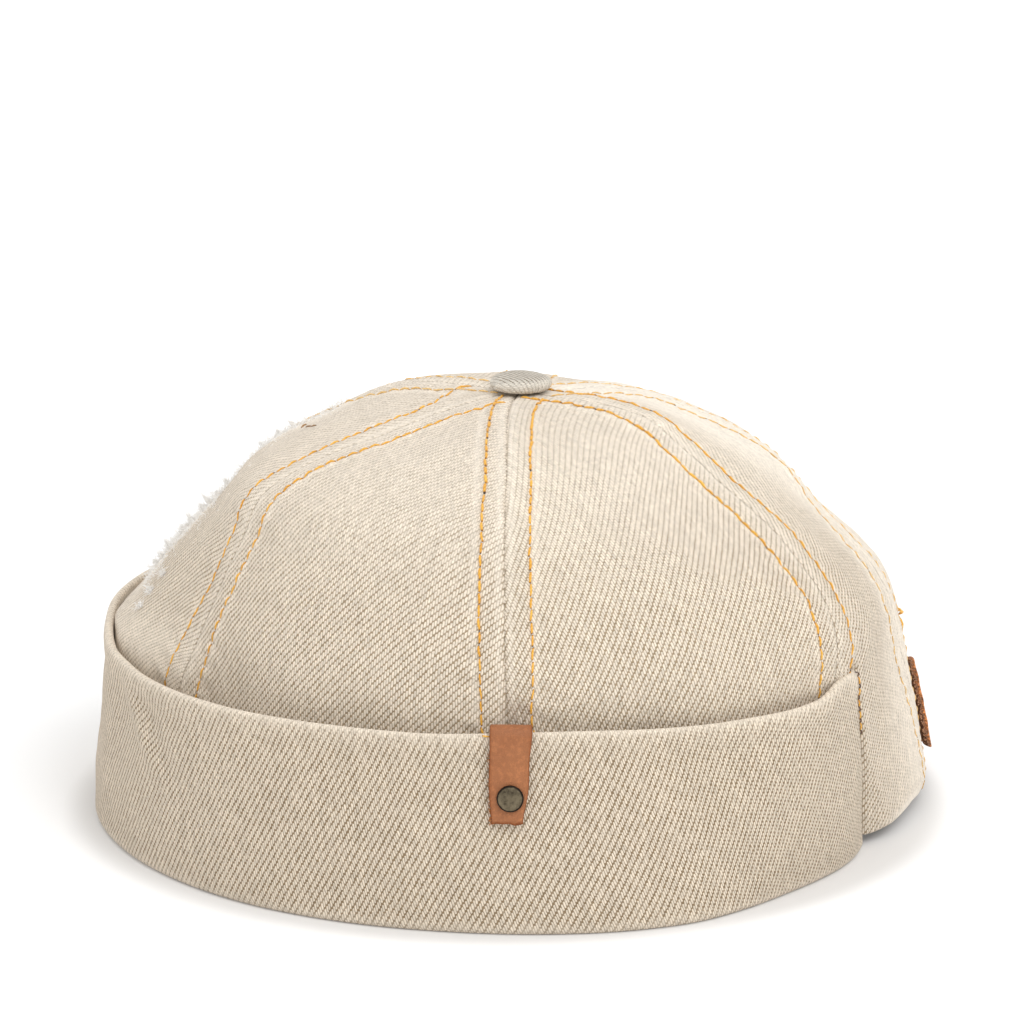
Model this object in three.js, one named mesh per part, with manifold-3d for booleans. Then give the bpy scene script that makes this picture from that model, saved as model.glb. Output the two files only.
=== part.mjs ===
// Docker cap: a brimless crown of six panels with a turned-up cuff, a covered button,
// a riveted leather tab and a leather back strap.
// Millimetres, +Z up, resting on z = 0. The front seam faces -Y, and left and right are
// those of someone who faces the cap. Azimuths are degrees round the crown's axis,
// 0 at the front seam and growing towards +X.

import * as THREE from 'three';
import { mergeVertices } from 'three/addons/utils/BufferGeometryUtils.js';
import Module from 'manifold-3d';

const wasm = await Module();
wasm.setup();

// ---------------------------------------------------------------- driving dimensions

const CLEARANCE = 0.3; // gap kept between pieces that touch
const PANEL_WALL = 1.5; // twill panel with its seam allowance
const CUFF_WALL = 2.2; // two layers of twill
const LEATHER = 1.5; // tab leather

// The six seams, and the azimuths at which the crown's sections are given.
const SEAMS = [
  { name: 'left_back', azimuth: -120 },
  { name: 'left_front', azimuth: -62 },
  { name: 'front', azimuth: 0 },
  { name: 'right_front', azimuth: 52 },
  { name: 'right_back', azimuth: 105 },
  { name: 'back', azimuth: 176 },
];

// The crown's outer radius at each seam, one row for each height.
const CROWN_SECTIONS = [
  { z: 0, left_back: 100, left_front: 98, front: 96, right_front: 89.5, right_back: 102, back: 100 },
  { z: 18, left_back: 97.5, left_front: 94, front: 92.5, right_front: 90, right_back: 98.5, back: 97 },
  { z: 40, left_back: 94, left_front: 88.5, front: 89.5, right_front: 90.5, right_back: 92.4, back: 91 },
  { z: 58, left_back: 88.5, left_front: 83, front: 85, right_front: 89.5, right_back: 86.8, back: 84 },
  { z: 74, left_back: 73.5, left_front: 75, front: 76, right_front: 78.5, right_back: 70.6, back: 74 },
  { z: 87, left_back: 58, left_front: 65.5, front: 63, right_front: 58, right_back: 59.6, back: 59.5 },
  { z: 96, left_back: 42, left_front: 37, front: 45, right_front: 44.5, right_back: 41.5, back: 42 },
  { z: 101, left_back: 27, left_front: 13.5, front: 24, right_front: 32, right_back: 23.5, back: 21 },
  { z: 102.5, left_back: 0, left_front: 0, front: 0, right_front: 0, right_back: 0, back: 0 },
];

// How far round each seam lies from its azimuth, in degrees. The slack crown lets the right
// back seam slump forward below its middle.
const SEAM_SHIFTS = [
  { z: 0, left_back: 0, left_front: 0, front: 0, right_front: 0, right_back: -12, back: 0 },
  { z: 18, left_back: 0, left_front: 0.2, front: -0.6, right_front: 0.8, right_back: -15, back: 0 },
  { z: 40, left_back: 0, left_front: 0.4, front: -1.1, right_front: 1.5, right_back: -19, back: 0 },
  { z: 58, left_back: 0, left_front: 0.6, front: -1.7, right_front: 2.2, right_back: -22, back: 0 },
  { z: 74, left_back: 0, left_front: 0.7, front: -2.1, right_front: 2.8, right_back: -17, back: 0 },
  { z: 87, left_back: 0, left_front: 0.8, front: -2.6, right_front: 3.3, right_back: -7, back: 0 },
  { z: 96, left_back: 0, left_front: 0.9, front: -3.5, right_front: 3.7, right_back: 1, back: 0 },
  { z: 101, left_back: 0, left_front: 1, front: -7.2, right_front: 3.9, right_back: 4, back: 0 },
  { z: 102.5, left_back: 0, left_front: 1, front: -16, right_front: 4, right_back: 4, back: 0 },
];

// The panels, each from one seam to the next, and how finely each is faceted.
const PANELS = [
  { name: 'crown_panel_left', from: 0, to: 1, columns: 10 },
  { name: 'crown_panel_front_left', from: 1, to: 2, columns: 10 },
  { name: 'crown_panel_front_right', from: 2, to: 3, columns: 10 },
  { name: 'crown_panel_right', from: 3, to: 4, columns: 14 },
  { name: 'crown_panel_back_right', from: 4, to: 5, columns: 16 },
  { name: 'crown_panel_back_left', from: 5, to: 6, columns: 11 },
];
const PANEL_ROWS = { covered: 5, open: 11 }; // below and above the cuff's edge
const CROWN_EYE = 3; // radius of the hole at the top that the button's stem goes through

// The bare hem at the back right hangs clear of the surface and rolls under a little.
const BARE_HEM = { height: 3.4, roll: 0.8, rollHeight: 4, fadeIn: 16 };
// Soft hollows pressed into the crown: behind the tab, a slack spot on the left seam and a
// fold before the right back seam. On the left the crown swells out to the cuff's edge.
const CROWN_DENTS = [
  { azimuth: -1, z: 33, depth: 1.8, width: 12, tall: 13 },
  { azimuth: -66, z: 66, depth: 1.4, width: 12, tall: 12 },
  { azimuth: 78, z: 55, depth: 2, width: 11, tall: 20 },
  { azimuth: -85, z: 42, depth: -9, width: 20, tall: 7 },
  { azimuth: -112, z: 90, depth: -4, width: 12, tall: 5 },
  { azimuth: -110, z: 41, depth: -8, width: 16, tall: 6 },
  { azimuth: -98, z: 72, depth: -1.2, width: 22, tall: 14 },
  { azimuth: -103, z: 84, depth: -1, width: 16, tall: 8 },
];

// The cuff's outer face: its radius at the surface and at the top edge, and that edge's height.
const CUFF_SECTIONS = [
  { azimuth: -158, base: 103, top: 102, height: 45 },
  { azimuth: -140, base: 104, top: 104.5, height: 45.5 },
  { azimuth: -120, base: 104, top: 105, height: 45.7 },
  { azimuth: -104, base: 103.8, top: 102.7, height: 45.8 },
  { azimuth: -85, base: 103.6, top: 100.6, height: 45.2 },
  { azimuth: -67, base: 102.6, top: 100.3, height: 44.5 },
  { azimuth: -53, base: 101.7, top: 99.3, height: 44.7 },
  { azimuth: -38, base: 101, top: 97.5, height: 44.9 },
  { azimuth: -23, base: 100.1, top: 96, height: 45.1 },
  { azimuth: -9, base: 99.6, top: 95.4, height: 45.3 },
  { azimuth: 3, base: 100.1, top: 94.6, height: 45.9 },
  { azimuth: 16, base: 100.6, top: 94.4, height: 45.9 },
  { azimuth: 24, base: 100.1, top: 94.6, height: 45.4 },
  { azimuth: 33, base: 97.3, top: 95, height: 44.9 },
  { azimuth: 41, base: 94.7, top: 95.4, height: 44.7 },
  { azimuth: 50, base: 93.1, top: 94.2, height: 44.4 },
  { azimuth: 55, base: 92.4, top: 92.8, height: 44.6 },
  { azimuth: 60, base: 91.3, top: 91.8, height: 46.4 },
  { azimuth: 67, base: 88.8, top: 91, height: 46.8 },
];
const CUFF_START = -158; // hidden end at the back
const CUFF_END = { base: 66.5, top: 59.5 }; // the visible end slants forward as it rises
const CUFF_COLUMNS = 76;
const CUFF_FLANGE = 1.6; // thickness of the fold under the crown
const CUFF_CORNER = 1.6; // radius of the fold's outer corner
const CUFF_WALL_ROWS = 5;
const CUFF_CORNER_STEPS = 3;
const CUFF_EDGE_STEPS = 4;
const CUFF_DENTS = [{ azimuth: -70, z: 34, depth: 1.6, width: 10, tall: 12 }];
const HEM_ABOVE_FLANGE = 0.6; // gap between the crown's edge and the fold below it
const SWELL_ABOVE = 0.3; // the crown swells out again this far above the cuff's edge,
const SWELL_SLOPE = 0.9; // this fast
const SWELL_START = 3; // and this many degrees past the cuff's ends,
const SWELL_PER_DEGREE = 1.4; // this fast

// The covered button, with its stem through the crown's eye and a clinched back inside.
// Its side rises for a little way before the dome, which is squarer than a ball.
const BUTTON = {
  radius: 7.3, height: 4.1, stem: 1.1, back: 4.8, backThickness: 0.8, lift: 0.35,
  undercut: 0.7, side: 0.6, squareness: 0.8, domeSteps: 7, sides: 24,
};

// The leather tab folded over the cuff's edge, and its rivet. The rivet's cap has a straight
// rim, then narrows to its shoulder and its crest.
const TAB = { azimuth: -0.7, width: 9.3, bottom: 25.8, rearBottom: 27.5, gap: 0.4, foldSteps: 8 };
const RIVET = {
  z: 31.6, post: 1.1, hole: 1.45, inner: 2.4, innerThickness: 0.6, sides: 20, holeSides: 16,
  cap: 2.95, rise: 1.3, rim: 0.35, shoulder: { radius: 2.65, out: 0.75 }, crest: { radius: 1.77, out: 1.17 },
};
const RIVET_HOLE_LENGTH = 12; // right through the cuff and both legs of the tab
const LEAN_SPAN = 5; // the cuff's lean at the rivet is taken this far above and below it

// The strap across the back, cut square at both ends and lying on the crown. Behind its
// visible end it runs lower round the back.
const STRAP = { from: 94, to: 188, bottom: 12.6, top: 33, thickness: 1.8, seat: 0.42, columns: 24, rows: 4 };
const STRAP_DROP = { from: 94, to: 106, depth: 5 };

const FINISH = {
  twill: { color: 0xd9cbb0, roughness: 0.9 },
  cuffTwill: { color: 0xd2c3a6, roughness: 0.9 },
  buttonTwill: { color: 0xb3a78f, roughness: 0.9 },
  leather: { color: 0xb8743f, roughness: 0.55 },
  brass: { color: 0x6a5a43, roughness: 0.4, metalness: 0.9 },
};

// ---------------------------------------------------------------- curves and surfaces

const radians = THREE.MathUtils.degToRad;
const clamp = THREE.MathUtils.clamp;

function hermite(a, b, slopeA, slopeB, t) {
  const t2 = t * t;
  const t3 = t2 * t;
  return (2 * t3 - 3 * t2 + 1) * a + (t3 - 2 * t2 + t) * slopeA
    + (3 * t2 - 2 * t3) * b + (t3 - t2) * slopeB;
}

// A smooth curve through values at 0, 1, 2 ...
function alongRows(values, level) {
  const last = values.length - 1;
  const i = clamp(Math.floor(level), 0, last - 1);
  const slope = (k) => {
    const low = Math.max(k - 1, 0);
    const high = Math.min(k + 1, last);
    return (values[high] - values[low]) / (high - low);
  };
  return hermite(values[i], values[i + 1], slope(i), slope(i + 1), level - i);
}

// A smooth curve through unevenly spaced knots, open or closed round a full turn.
function throughKnots(knots, values, closed, x) {
  const n = knots.length;
  const turn = (i) => 360 * Math.floor(i / n);
  const wrap = (i) => ((i % n) + n) % n;
  const knot = (i) => (closed ? knots[wrap(i)] + turn(i) : knots[clamp(i, 0, n - 1)]);
  const value = (i) => (closed ? values[wrap(i)] : values[clamp(i, 0, n - 1)]);
  const at = closed ? knots[0] + ((((x - knots[0]) % 360) + 360) % 360) : clamp(x, knots[0], knots[n - 1]);
  let i = 0;
  while (i < (closed ? n - 1 : n - 2) && at >= knot(i + 1)) i += 1;
  const slope = (k) => {
    const before = knot(k) - knot(k - 1);
    const after = knot(k + 1) - knot(k);
    if (before === 0) return (value(k + 1) - value(k)) / after;
    if (after === 0) return (value(k) - value(k - 1)) / before;
    const rise = (value(k + 1) - value(k)) / after;
    const lead = (value(k) - value(k - 1)) / before;
    return (lead * after + rise * before) / (before + after);
  };
  const span = knot(i + 1) - knot(i);
  return hermite(value(i), value(i + 1), span * slope(i), span * slope(i + 1), (at - knot(i)) / span);
}

function bisect(f, low, high) {
  let a = low;
  let b = high;
  for (let step = 0; step < 40; step += 1) {
    const middle = (a + b) / 2;
    if (f(middle) > 0) b = middle; else a = middle;
  }
  return (a + b) / 2;
}

// The shortest turn from one azimuth to another.
const turnFrom = (from, to) => ((((to - from) % 360) + 540) % 360) - 180;

const around = (azimuth, radius, z) => {
  const angle = radians(azimuth);
  return new THREE.Vector3(radius * Math.sin(angle), -radius * Math.cos(angle), z);
};

function dentDepth(dents, azimuth, radius, z) {
  return dents.reduce((sum, dent) => {
    const across = (radians(turnFrom(dent.azimuth, azimuth)) * radius) / dent.width;
    const up = (z - dent.z) / dent.tall;
    return sum + dent.depth * Math.exp(-(across * across + up * up) / 2);
  }, 0);
}

// ---------------------------------------------------------------- the cuff's faces

const cuffKnots = CUFF_SECTIONS.map((row) => row.azimuth);
const cuffColumn = (key, azimuth) => (
  throughKnots(cuffKnots, CUFF_SECTIONS.map((row) => row[key]), false, azimuth)
);

function cuffOuter(azimuth, z) {
  const rise = z / cuffColumn('height', azimuth);
  const radius = THREE.MathUtils.lerp(cuffColumn('base', azimuth), cuffColumn('top', azimuth), rise);
  return radius - dentDepth(CUFF_DENTS, azimuth, radius, z);
}

const cuffEnd = (z) => (
  THREE.MathUtils.lerp(CUFF_END.base, CUFF_END.top, z / CUFF_SECTIONS.at(-1).height)
);

// Where the crown comes free of the cuff, just above its edge.
const coverHeight = (azimuth) => cuffColumn('height', turnFrom(0, azimuth)) + SWELL_ABOVE;

// How far out the crown may reach where the cuff holds it in.
function cuffLimit(azimuth, z) {
  const turned = turnFrom(0, azimuth);
  const past = Math.max(turned - cuffEnd(z) - SWELL_START, CUFF_START - SWELL_START - turned, 0);
  const covered = clamp(turned, CUFF_START, cuffEnd(z));
  const height = cuffColumn('height', covered);
  const inside = cuffOuter(covered, Math.min(z, height)) - CUFF_WALL - 2 * CLEARANCE;
  return inside + SWELL_SLOPE * Math.max(z - height - SWELL_ABOVE, 0) + SWELL_PER_DEGREE * past;
}

// ---------------------------------------------------------------- the crown's surface

const crownHeights = CROWN_SECTIONS.map((row) => row.z);
const seamKnots = SEAMS.map((seam) => seam.azimuth);
const crownLevels = CROWN_SECTIONS.length - 1;
const crownHeight = (level) => alongRows(crownHeights, level);
const levelAtHeight = (z) => bisect((level) => crownHeight(level) - z, 0, crownLevels);

function crownRadius(azimuth, level) {
  const atSeams = SEAMS.map((seam) => alongRows(CROWN_SECTIONS.map((row) => row[seam.name]), level));
  const free = throughKnots(seamKnots, atSeams, true, azimuth);
  const z = crownHeight(level);
  const hollow = free - dentDepth(CROWN_DENTS, azimuth, Math.max(free, 1), z);
  return Math.min(hollow, cuffLimit(azimuth, z));
}

// 0 where the cuff covers the hem, 1 where the hem is bare.
function bareness(azimuth) {
  const turned = turnFrom(0, azimuth);
  const past = Math.max(turned - CUFF_END.base, CUFF_START - turned, 0);
  return THREE.MathUtils.smoothstep(past, 0, BARE_HEM.fadeIn);
}

const foldedHem = CUFF_FLANGE + HEM_ABOVE_FLANGE;
const hemHeight = (azimuth) => THREE.MathUtils.lerp(foldedHem, BARE_HEM.height, bareness(azimuth));

function crownPoint(azimuth, level) {
  const z = crownHeight(level);
  const rolled = clamp(1 - (z - hemHeight(azimuth)) / BARE_HEM.rollHeight, 0, 1);
  const radius = crownRadius(azimuth, level) - bareness(azimuth) * BARE_HEM.roll * rolled * rolled;
  return around(azimuth, radius, z);
}

function crownNormal(azimuth, level) {
  const degree = 1;
  const rise = 0.02;
  const round = crownPoint(azimuth + degree, level).sub(crownPoint(azimuth - degree, level));
  const up = crownPoint(azimuth, Math.min(level + rise, crownLevels)).sub(crownPoint(azimuth, level - rise));
  return round.cross(up).normalize();
}

function seamAzimuth(index, level) {
  const seam = SEAMS[index % SEAMS.length];
  const turns = Math.floor(index / SEAMS.length);
  return 360 * turns + seam.azimuth + alongRows(SEAM_SHIFTS.map((row) => row[seam.name]), level);
}

// ---------------------------------------------------------------- mesh helpers

function geometryFrom(points, triangles) {
  const geometry = new THREE.BufferGeometry();
  geometry.setAttribute('position', new THREE.Float32BufferAttribute(points.flatMap((p) => [p.x, p.y, p.z]), 3));
  geometry.setIndex(triangles.flat());
  geometry.computeVertexNormals();
  return geometry;
}

// A closed wall between an outer and an inner grid of the same size.
function wallBetween(outer, inner) {
  const rows = outer.length;
  const columns = outer[0].length;
  const offset = rows * columns;
  const index = (row, column) => row * columns + column;
  const triangles = [];
  const quad = (a, b, c, d) => triangles.push([a, b, c], [a, c, d]);
  for (let row = 0; row < rows - 1; row += 1) {
    for (let column = 0; column < columns - 1; column += 1) {
      const corners = [index(row, column), index(row, column + 1), index(row + 1, column + 1), index(row + 1, column)];
      quad(...corners);
      quad(...corners.map((corner) => corner + offset).reverse());
    }
  }
  const rim = [];
  for (let column = 0; column < columns; column += 1) rim.push(index(0, column));
  for (let row = 1; row < rows; row += 1) rim.push(index(row, columns - 1));
  for (let column = columns - 2; column >= 0; column -= 1) rim.push(index(rows - 1, column));
  for (let row = rows - 2; row > 0; row -= 1) rim.push(index(row, 0));
  rim.forEach((a, i) => {
    const b = rim[(i + 1) % rim.length];
    quad(b, a, a + offset, b + offset);
  });
  return geometryFrom([...outer.flat(), ...inner.flat()], triangles);
}

// A closed body swept through rings of the same number of points, capped at both ends.
function sweptBody(rings, outline) {
  const count = rings[0].length;
  const triangles = [];
  for (let ring = 0; ring < rings.length - 1; ring += 1) {
    for (let i = 0; i < count; i += 1) {
      const next = (i + 1) % count;
      const a = ring * count + i;
      const b = ring * count + next;
      triangles.push([a, a + count, b + count], [a, b + count, b]);
    }
  }
  const lastRing = (rings.length - 1) * count;
  THREE.ShapeUtils.triangulateShape(outline, []).forEach(([a, b, c]) => {
    triangles.push([a, b, c], [c + lastRing, b + lastRing, a + lastRing]);
  });
  return geometryFrom(rings.flat(), triangles);
}

function solidOf(geometry) {
  const bare = geometry.clone();
  bare.deleteAttribute('normal');
  bare.deleteAttribute('uv');
  const merged = mergeVertices(bare);
  return new wasm.Manifold(new wasm.Mesh({
    numProp: 3,
    vertProperties: Float32Array.from(merged.attributes.position.array),
    triVerts: Uint32Array.from(merged.index.array),
  }));
}

function geometryOf(solid) {
  const mesh = solid.getMesh();
  const geometry = new THREE.BufferGeometry();
  geometry.setAttribute('position', new THREE.BufferAttribute(mesh.vertProperties, 3));
  geometry.setIndex(new THREE.BufferAttribute(mesh.triVerts, 1));
  geometry.computeVertexNormals();
  return geometry;
}

const cutWith = (geometry, tool) => geometryOf(solidOf(geometry).subtract(solidOf(tool)));

function namedMesh(name, geometry, finish) {
  const material = new THREE.MeshStandardMaterial({ metalness: 0, ...finish });
  const mesh = new THREE.Mesh(geometry, material);
  mesh.name = name;
  return mesh;
}

// ---------------------------------------------------------------- crown panels

const SEAM_LEVEL_AT_COVER = 2.3; // the level at which the seams pass the cuff's edge

function crownPanel({ name, from, to, columns }) {
  const outer = [];
  const inner = [];
  for (let row = 0; row <= PANEL_ROWS.covered + PANEL_ROWS.open; row += 1) {
    outer.push([]);
    inner.push([]);
    for (let column = 0; column <= columns; column += 1) {
      const across = column / columns;
      const azimuthAt = (level) => {
        const left = seamAzimuth(from, level);
        const right = seamAzimuth(to, level);
        const halfGap = THREE.MathUtils.radToDeg(CLEARANCE / 2 / Math.max(crownRadius(left, level), CROWN_EYE));
        return THREE.MathUtils.lerp(left + halfGap, right - halfGap, across);
      };
      const hemLevel = levelAtHeight(hemHeight(azimuthAt(0)));
      const eyeLevel = bisect((level) => CROWN_EYE - crownRadius(azimuthAt(level), level), crownLevels - 1, crownLevels);
      const coverLevel = levelAtHeight(coverHeight(azimuthAt(SEAM_LEVEL_AT_COVER)));
      const level = row < PANEL_ROWS.covered
        ? THREE.MathUtils.lerp(hemLevel, coverLevel, row / PANEL_ROWS.covered)
        : THREE.MathUtils.lerp(coverLevel, eyeLevel, (row - PANEL_ROWS.covered) / PANEL_ROWS.open);
      const azimuth = azimuthAt(level);
      const point = crownPoint(azimuth, level);
      outer[row].push(point);
      inner[row].push(point.clone().addScaledVector(crownNormal(azimuth, level), -PANEL_WALL));
    }
  }
  return namedMesh(name, wallBetween(outer, inner), FINISH.twill);
}

// ---------------------------------------------------------------- cuff

// The cuff's section at one azimuth, as radius and height: a flat fold under the crown's
// edge, a rounded corner, the leaning wall and its rounded top edge.
function cuffSection(azimuthAt) {
  const halfWall = CUFF_WALL / 2;
  const points = [];
  const add = (radius, z) => points.push(new THREE.Vector2(radius, z));
  const underCrown = (z) => crownRadius(azimuthAt(z), levelAtHeight(foldedHem)) - PANEL_WALL - CLEARANCE;
  add(underCrown(0), 0);
  add(cuffOuter(azimuthAt(0), 0) - CUFF_CORNER, 0);
  for (let step = 1; step <= CUFF_CORNER_STEPS; step += 1) {
    const angle = (step / CUFF_CORNER_STEPS) * (Math.PI / 2);
    const z = CUFF_CORNER * (1 - Math.cos(angle));
    add(cuffOuter(azimuthAt(z), z) - CUFF_CORNER * (1 - Math.sin(angle)), z);
  }
  const shoulder = cuffColumn('height', azimuthAt(0)) - halfWall;
  for (let row = 1; row <= CUFF_WALL_ROWS; row += 1) {
    const z = THREE.MathUtils.lerp(CUFF_CORNER, shoulder, row / CUFF_WALL_ROWS);
    add(cuffOuter(azimuthAt(z), z), z);
  }
  for (let step = 1; step <= CUFF_EDGE_STEPS; step += 1) {
    const angle = (step / CUFF_EDGE_STEPS) * Math.PI;
    const z = shoulder + halfWall * Math.sin(angle);
    add(cuffOuter(azimuthAt(z), shoulder) - halfWall * (1 - Math.cos(angle)), z);
  }
  for (let row = CUFF_WALL_ROWS - 1; row >= 0; row -= 1) {
    const z = THREE.MathUtils.lerp(CUFF_CORNER, shoulder, row / CUFF_WALL_ROWS);
    add(cuffOuter(azimuthAt(z), z) - CUFF_WALL, z);
  }
  add(cuffOuter(azimuthAt(CUFF_FLANGE), CUFF_FLANGE) - CUFF_WALL - halfWall / 2, CUFF_FLANGE);
  add(underCrown(CUFF_FLANGE), CUFF_FLANGE);
  return points;
}

function cuff() {
  const rings = [];
  let outline = [];
  for (let column = 0; column <= CUFF_COLUMNS; column += 1) {
    const azimuthAt = (z) => THREE.MathUtils.lerp(CUFF_START, cuffEnd(z), column / CUFF_COLUMNS);
    outline = cuffSection(azimuthAt);
    rings.push(outline.map((point) => around(azimuthAt(point.y), point.x, point.y)));
  }
  return namedMesh('cuff', cutWith(sweptBody(rings, outline), rivetHole()), FINISH.cuffTwill);
}

// ---------------------------------------------------------------- button

function button() {
  const crownTop = crownHeights.at(-1);
  const under = crownTop + BUTTON.lift;
  const inside = crownTop - PANEL_WALL - CLEARANCE - BUTTON.lift;
  const profile = [
    new THREE.Vector2(0, inside - BUTTON.backThickness),
    new THREE.Vector2(BUTTON.back, inside - BUTTON.backThickness - BUTTON.lift),
    new THREE.Vector2(BUTTON.back, inside - BUTTON.lift),
    new THREE.Vector2(BUTTON.stem, inside),
    new THREE.Vector2(BUTTON.stem, under),
    new THREE.Vector2(BUTTON.radius - BUTTON.undercut, under),
  ];
  for (let step = 0; step < BUTTON.domeSteps; step += 1) {
    const angle = (step / BUTTON.domeSteps) * (Math.PI / 2);
    const radius = BUTTON.radius * Math.cos(angle) ** BUTTON.squareness;
    const rise = BUTTON.side + (BUTTON.height - BUTTON.side) * Math.sin(angle);
    profile.push(new THREE.Vector2(radius, under + rise));
  }
  profile.push(new THREE.Vector2(0, under + BUTTON.height));
  const geometry = new THREE.LatheGeometry(profile, BUTTON.sides).rotateX(Math.PI / 2);
  return namedMesh('button', geometryOf(solidOf(geometry)), FINISH.buttonTwill);
}

// ---------------------------------------------------------------- leather tab and rivet

// The tab's own upright frame at its azimuth: x across, y out, z up.
function placeAtTab(geometry) {
  return geometry.rotateZ(radians(TAB.azimuth));
}

const tabFace = (z) => cuffOuter(TAB.azimuth, z);

// A line parallel to the cuff's wall, some distance off its outer face, from one height
// to another, as points of (distance out, height).
function besideCuff(distance, heights) {
  return heights.map((z) => new THREE.Vector2(tabFace(z) + distance, z));
}

function tabOutline() {
  const halfWall = CUFF_WALL / 2;
  const shoulder = cuffColumn('height', TAB.azimuth) - halfWall;
  const middle = tabFace(shoulder) - halfWall;
  const over = (radius, from, to) => Array.from({ length: TAB.foldSteps + 1 }, (_, i) => {
    const angle = THREE.MathUtils.lerp(from, to, i / TAB.foldSteps);
    return new THREE.Vector2(middle + radius * Math.cos(angle), shoulder + radius * Math.sin(angle));
  });
  const inner = halfWall + TAB.gap;
  const outer = inner + LEATHER;
  return [
    ...besideCuff(TAB.gap + LEATHER, [TAB.bottom]),
    ...over(outer, 0, Math.PI),
    ...besideCuff(-CUFF_WALL - TAB.gap - LEATHER, [TAB.rearBottom]),
    ...besideCuff(-CUFF_WALL - TAB.gap, [TAB.rearBottom]),
    ...over(inner, Math.PI, 0),
    ...besideCuff(TAB.gap, [TAB.bottom]),
  ];
}

// Extrudes an outline of (distance out, height) across the tab's width.
function acrossTab(outline, width) {
  const geometry = new THREE.ExtrudeGeometry(new THREE.Shape(outline), { depth: width, bevelEnabled: false });
  geometry.translate(0, 0, -width / 2);
  const toFront = new THREE.Matrix4().makeBasis(
    new THREE.Vector3(0, -1, 0),
    new THREE.Vector3(0, 0, 1),
    new THREE.Vector3(-1, 0, 0),
  );
  return placeAtTab(geometry.applyMatrix4(toFront));
}

// The rivet stands square to the cuff's wall. Its profile is (radius, distance out from
// the cuff's outer face), turned about that axis.
function alongRivet(geometry) {
  const lean = Math.atan2(tabFace(RIVET.z - LEAN_SPAN) - tabFace(RIVET.z + LEAN_SPAN), 2 * LEAN_SPAN);
  geometry.rotateX(Math.PI - lean);
  geometry.translate(0, -tabFace(RIVET.z), RIVET.z);
  return placeAtTab(geometry);
}

function rivetHole() {
  return alongRivet(new THREE.CylinderGeometry(RIVET.hole, RIVET.hole, RIVET_HOLE_LENGTH, RIVET.holeSides));
}

function leatherTab() {
  return namedMesh('leather_tab', cutWith(acrossTab(tabOutline(), TAB.width), rivetHole()), FINISH.leather);
}

function rivet() {
  const seat = TAB.gap + LEATHER + CLEARANCE / 2;
  const innerSeat = -CUFF_WALL - TAB.gap - LEATHER - CLEARANCE / 2;
  const profile = [
    new THREE.Vector2(0, innerSeat - RIVET.innerThickness),
    new THREE.Vector2(RIVET.inner, innerSeat - RIVET.innerThickness),
    new THREE.Vector2(RIVET.inner, innerSeat),
    new THREE.Vector2(RIVET.post, innerSeat),
    new THREE.Vector2(RIVET.post, seat),
    new THREE.Vector2(RIVET.cap, seat),
    new THREE.Vector2(RIVET.cap, seat + RIVET.rim),
    new THREE.Vector2(RIVET.shoulder.radius, seat + RIVET.shoulder.out),
    new THREE.Vector2(RIVET.crest.radius, seat + RIVET.crest.out),
    new THREE.Vector2(0, seat + RIVET.rise),
  ];
  const geometry = alongRivet(new THREE.LatheGeometry(profile, RIVET.sides));
  return namedMesh('rivet', geometryOf(solidOf(geometry)), FINISH.brass);
}

// ---------------------------------------------------------------- back strap

function backStrap() {
  const sheet = (distance) => Array.from({ length: STRAP.rows + 1 }, (_, row) => (
    Array.from({ length: STRAP.columns + 1 }, (__, column) => {
      const azimuth = THREE.MathUtils.lerp(STRAP.from, STRAP.to, column / STRAP.columns);
      const drop = STRAP_DROP.depth * THREE.MathUtils.smoothstep(azimuth, STRAP_DROP.from, STRAP_DROP.to);
      const level = levelAtHeight(THREE.MathUtils.lerp(STRAP.bottom, STRAP.top, row / STRAP.rows) - drop);
      return crownPoint(azimuth, level).addScaledVector(crownNormal(azimuth, level), distance);
    })
  ));
  const outer = sheet(STRAP.seat + STRAP.thickness);
  return namedMesh('back_strap', wallBetween(outer, sheet(STRAP.seat)), FINISH.leather);
}

// ---------------------------------------------------------------- assembly

const cap = new THREE.Group();
PANELS.forEach((panel) => cap.add(crownPanel(panel)));
cap.add(cuff(), button(), leatherTab(), rivet(), backStrap());

// The origin is the middle of the footprint, on the surface that the cap rests on.
const middle = new THREE.Box3().setFromObject(cap, true).getCenter(new THREE.Vector3());
cap.position.set(-middle.x, -middle.y, 0);

export default cap;
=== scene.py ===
import math

import bmesh
import bpy
import numpy as np
from mathutils import Matrix, Vector


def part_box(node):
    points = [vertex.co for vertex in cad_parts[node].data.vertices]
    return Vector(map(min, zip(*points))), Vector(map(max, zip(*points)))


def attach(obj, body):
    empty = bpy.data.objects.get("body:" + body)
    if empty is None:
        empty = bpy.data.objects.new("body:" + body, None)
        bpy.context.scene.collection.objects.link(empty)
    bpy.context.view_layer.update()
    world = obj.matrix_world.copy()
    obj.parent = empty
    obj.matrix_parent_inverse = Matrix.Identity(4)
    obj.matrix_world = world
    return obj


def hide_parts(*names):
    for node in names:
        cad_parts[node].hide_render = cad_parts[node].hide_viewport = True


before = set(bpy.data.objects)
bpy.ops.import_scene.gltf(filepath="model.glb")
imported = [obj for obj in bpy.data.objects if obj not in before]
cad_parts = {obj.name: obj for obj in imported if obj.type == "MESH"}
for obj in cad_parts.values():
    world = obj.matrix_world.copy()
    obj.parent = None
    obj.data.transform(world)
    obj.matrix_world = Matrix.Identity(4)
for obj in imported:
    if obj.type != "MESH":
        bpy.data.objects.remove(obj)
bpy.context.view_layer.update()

# A docker cap: six twill panels with topstitched seams, a turned-up cuff, a covered button,
# a riveted leather tab, a back strap and a frayed patch. The shape is worked out in
# millimetres round the crown's axis, then placed in the row frame in metres. Azimuths are
# degrees, 0 at the front seam and growing towards +X.

MM = 0.001
button_low, button_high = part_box("button")
AXIS = (button_low + button_high) / 2 / MM
AXIS.z = 0

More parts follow.
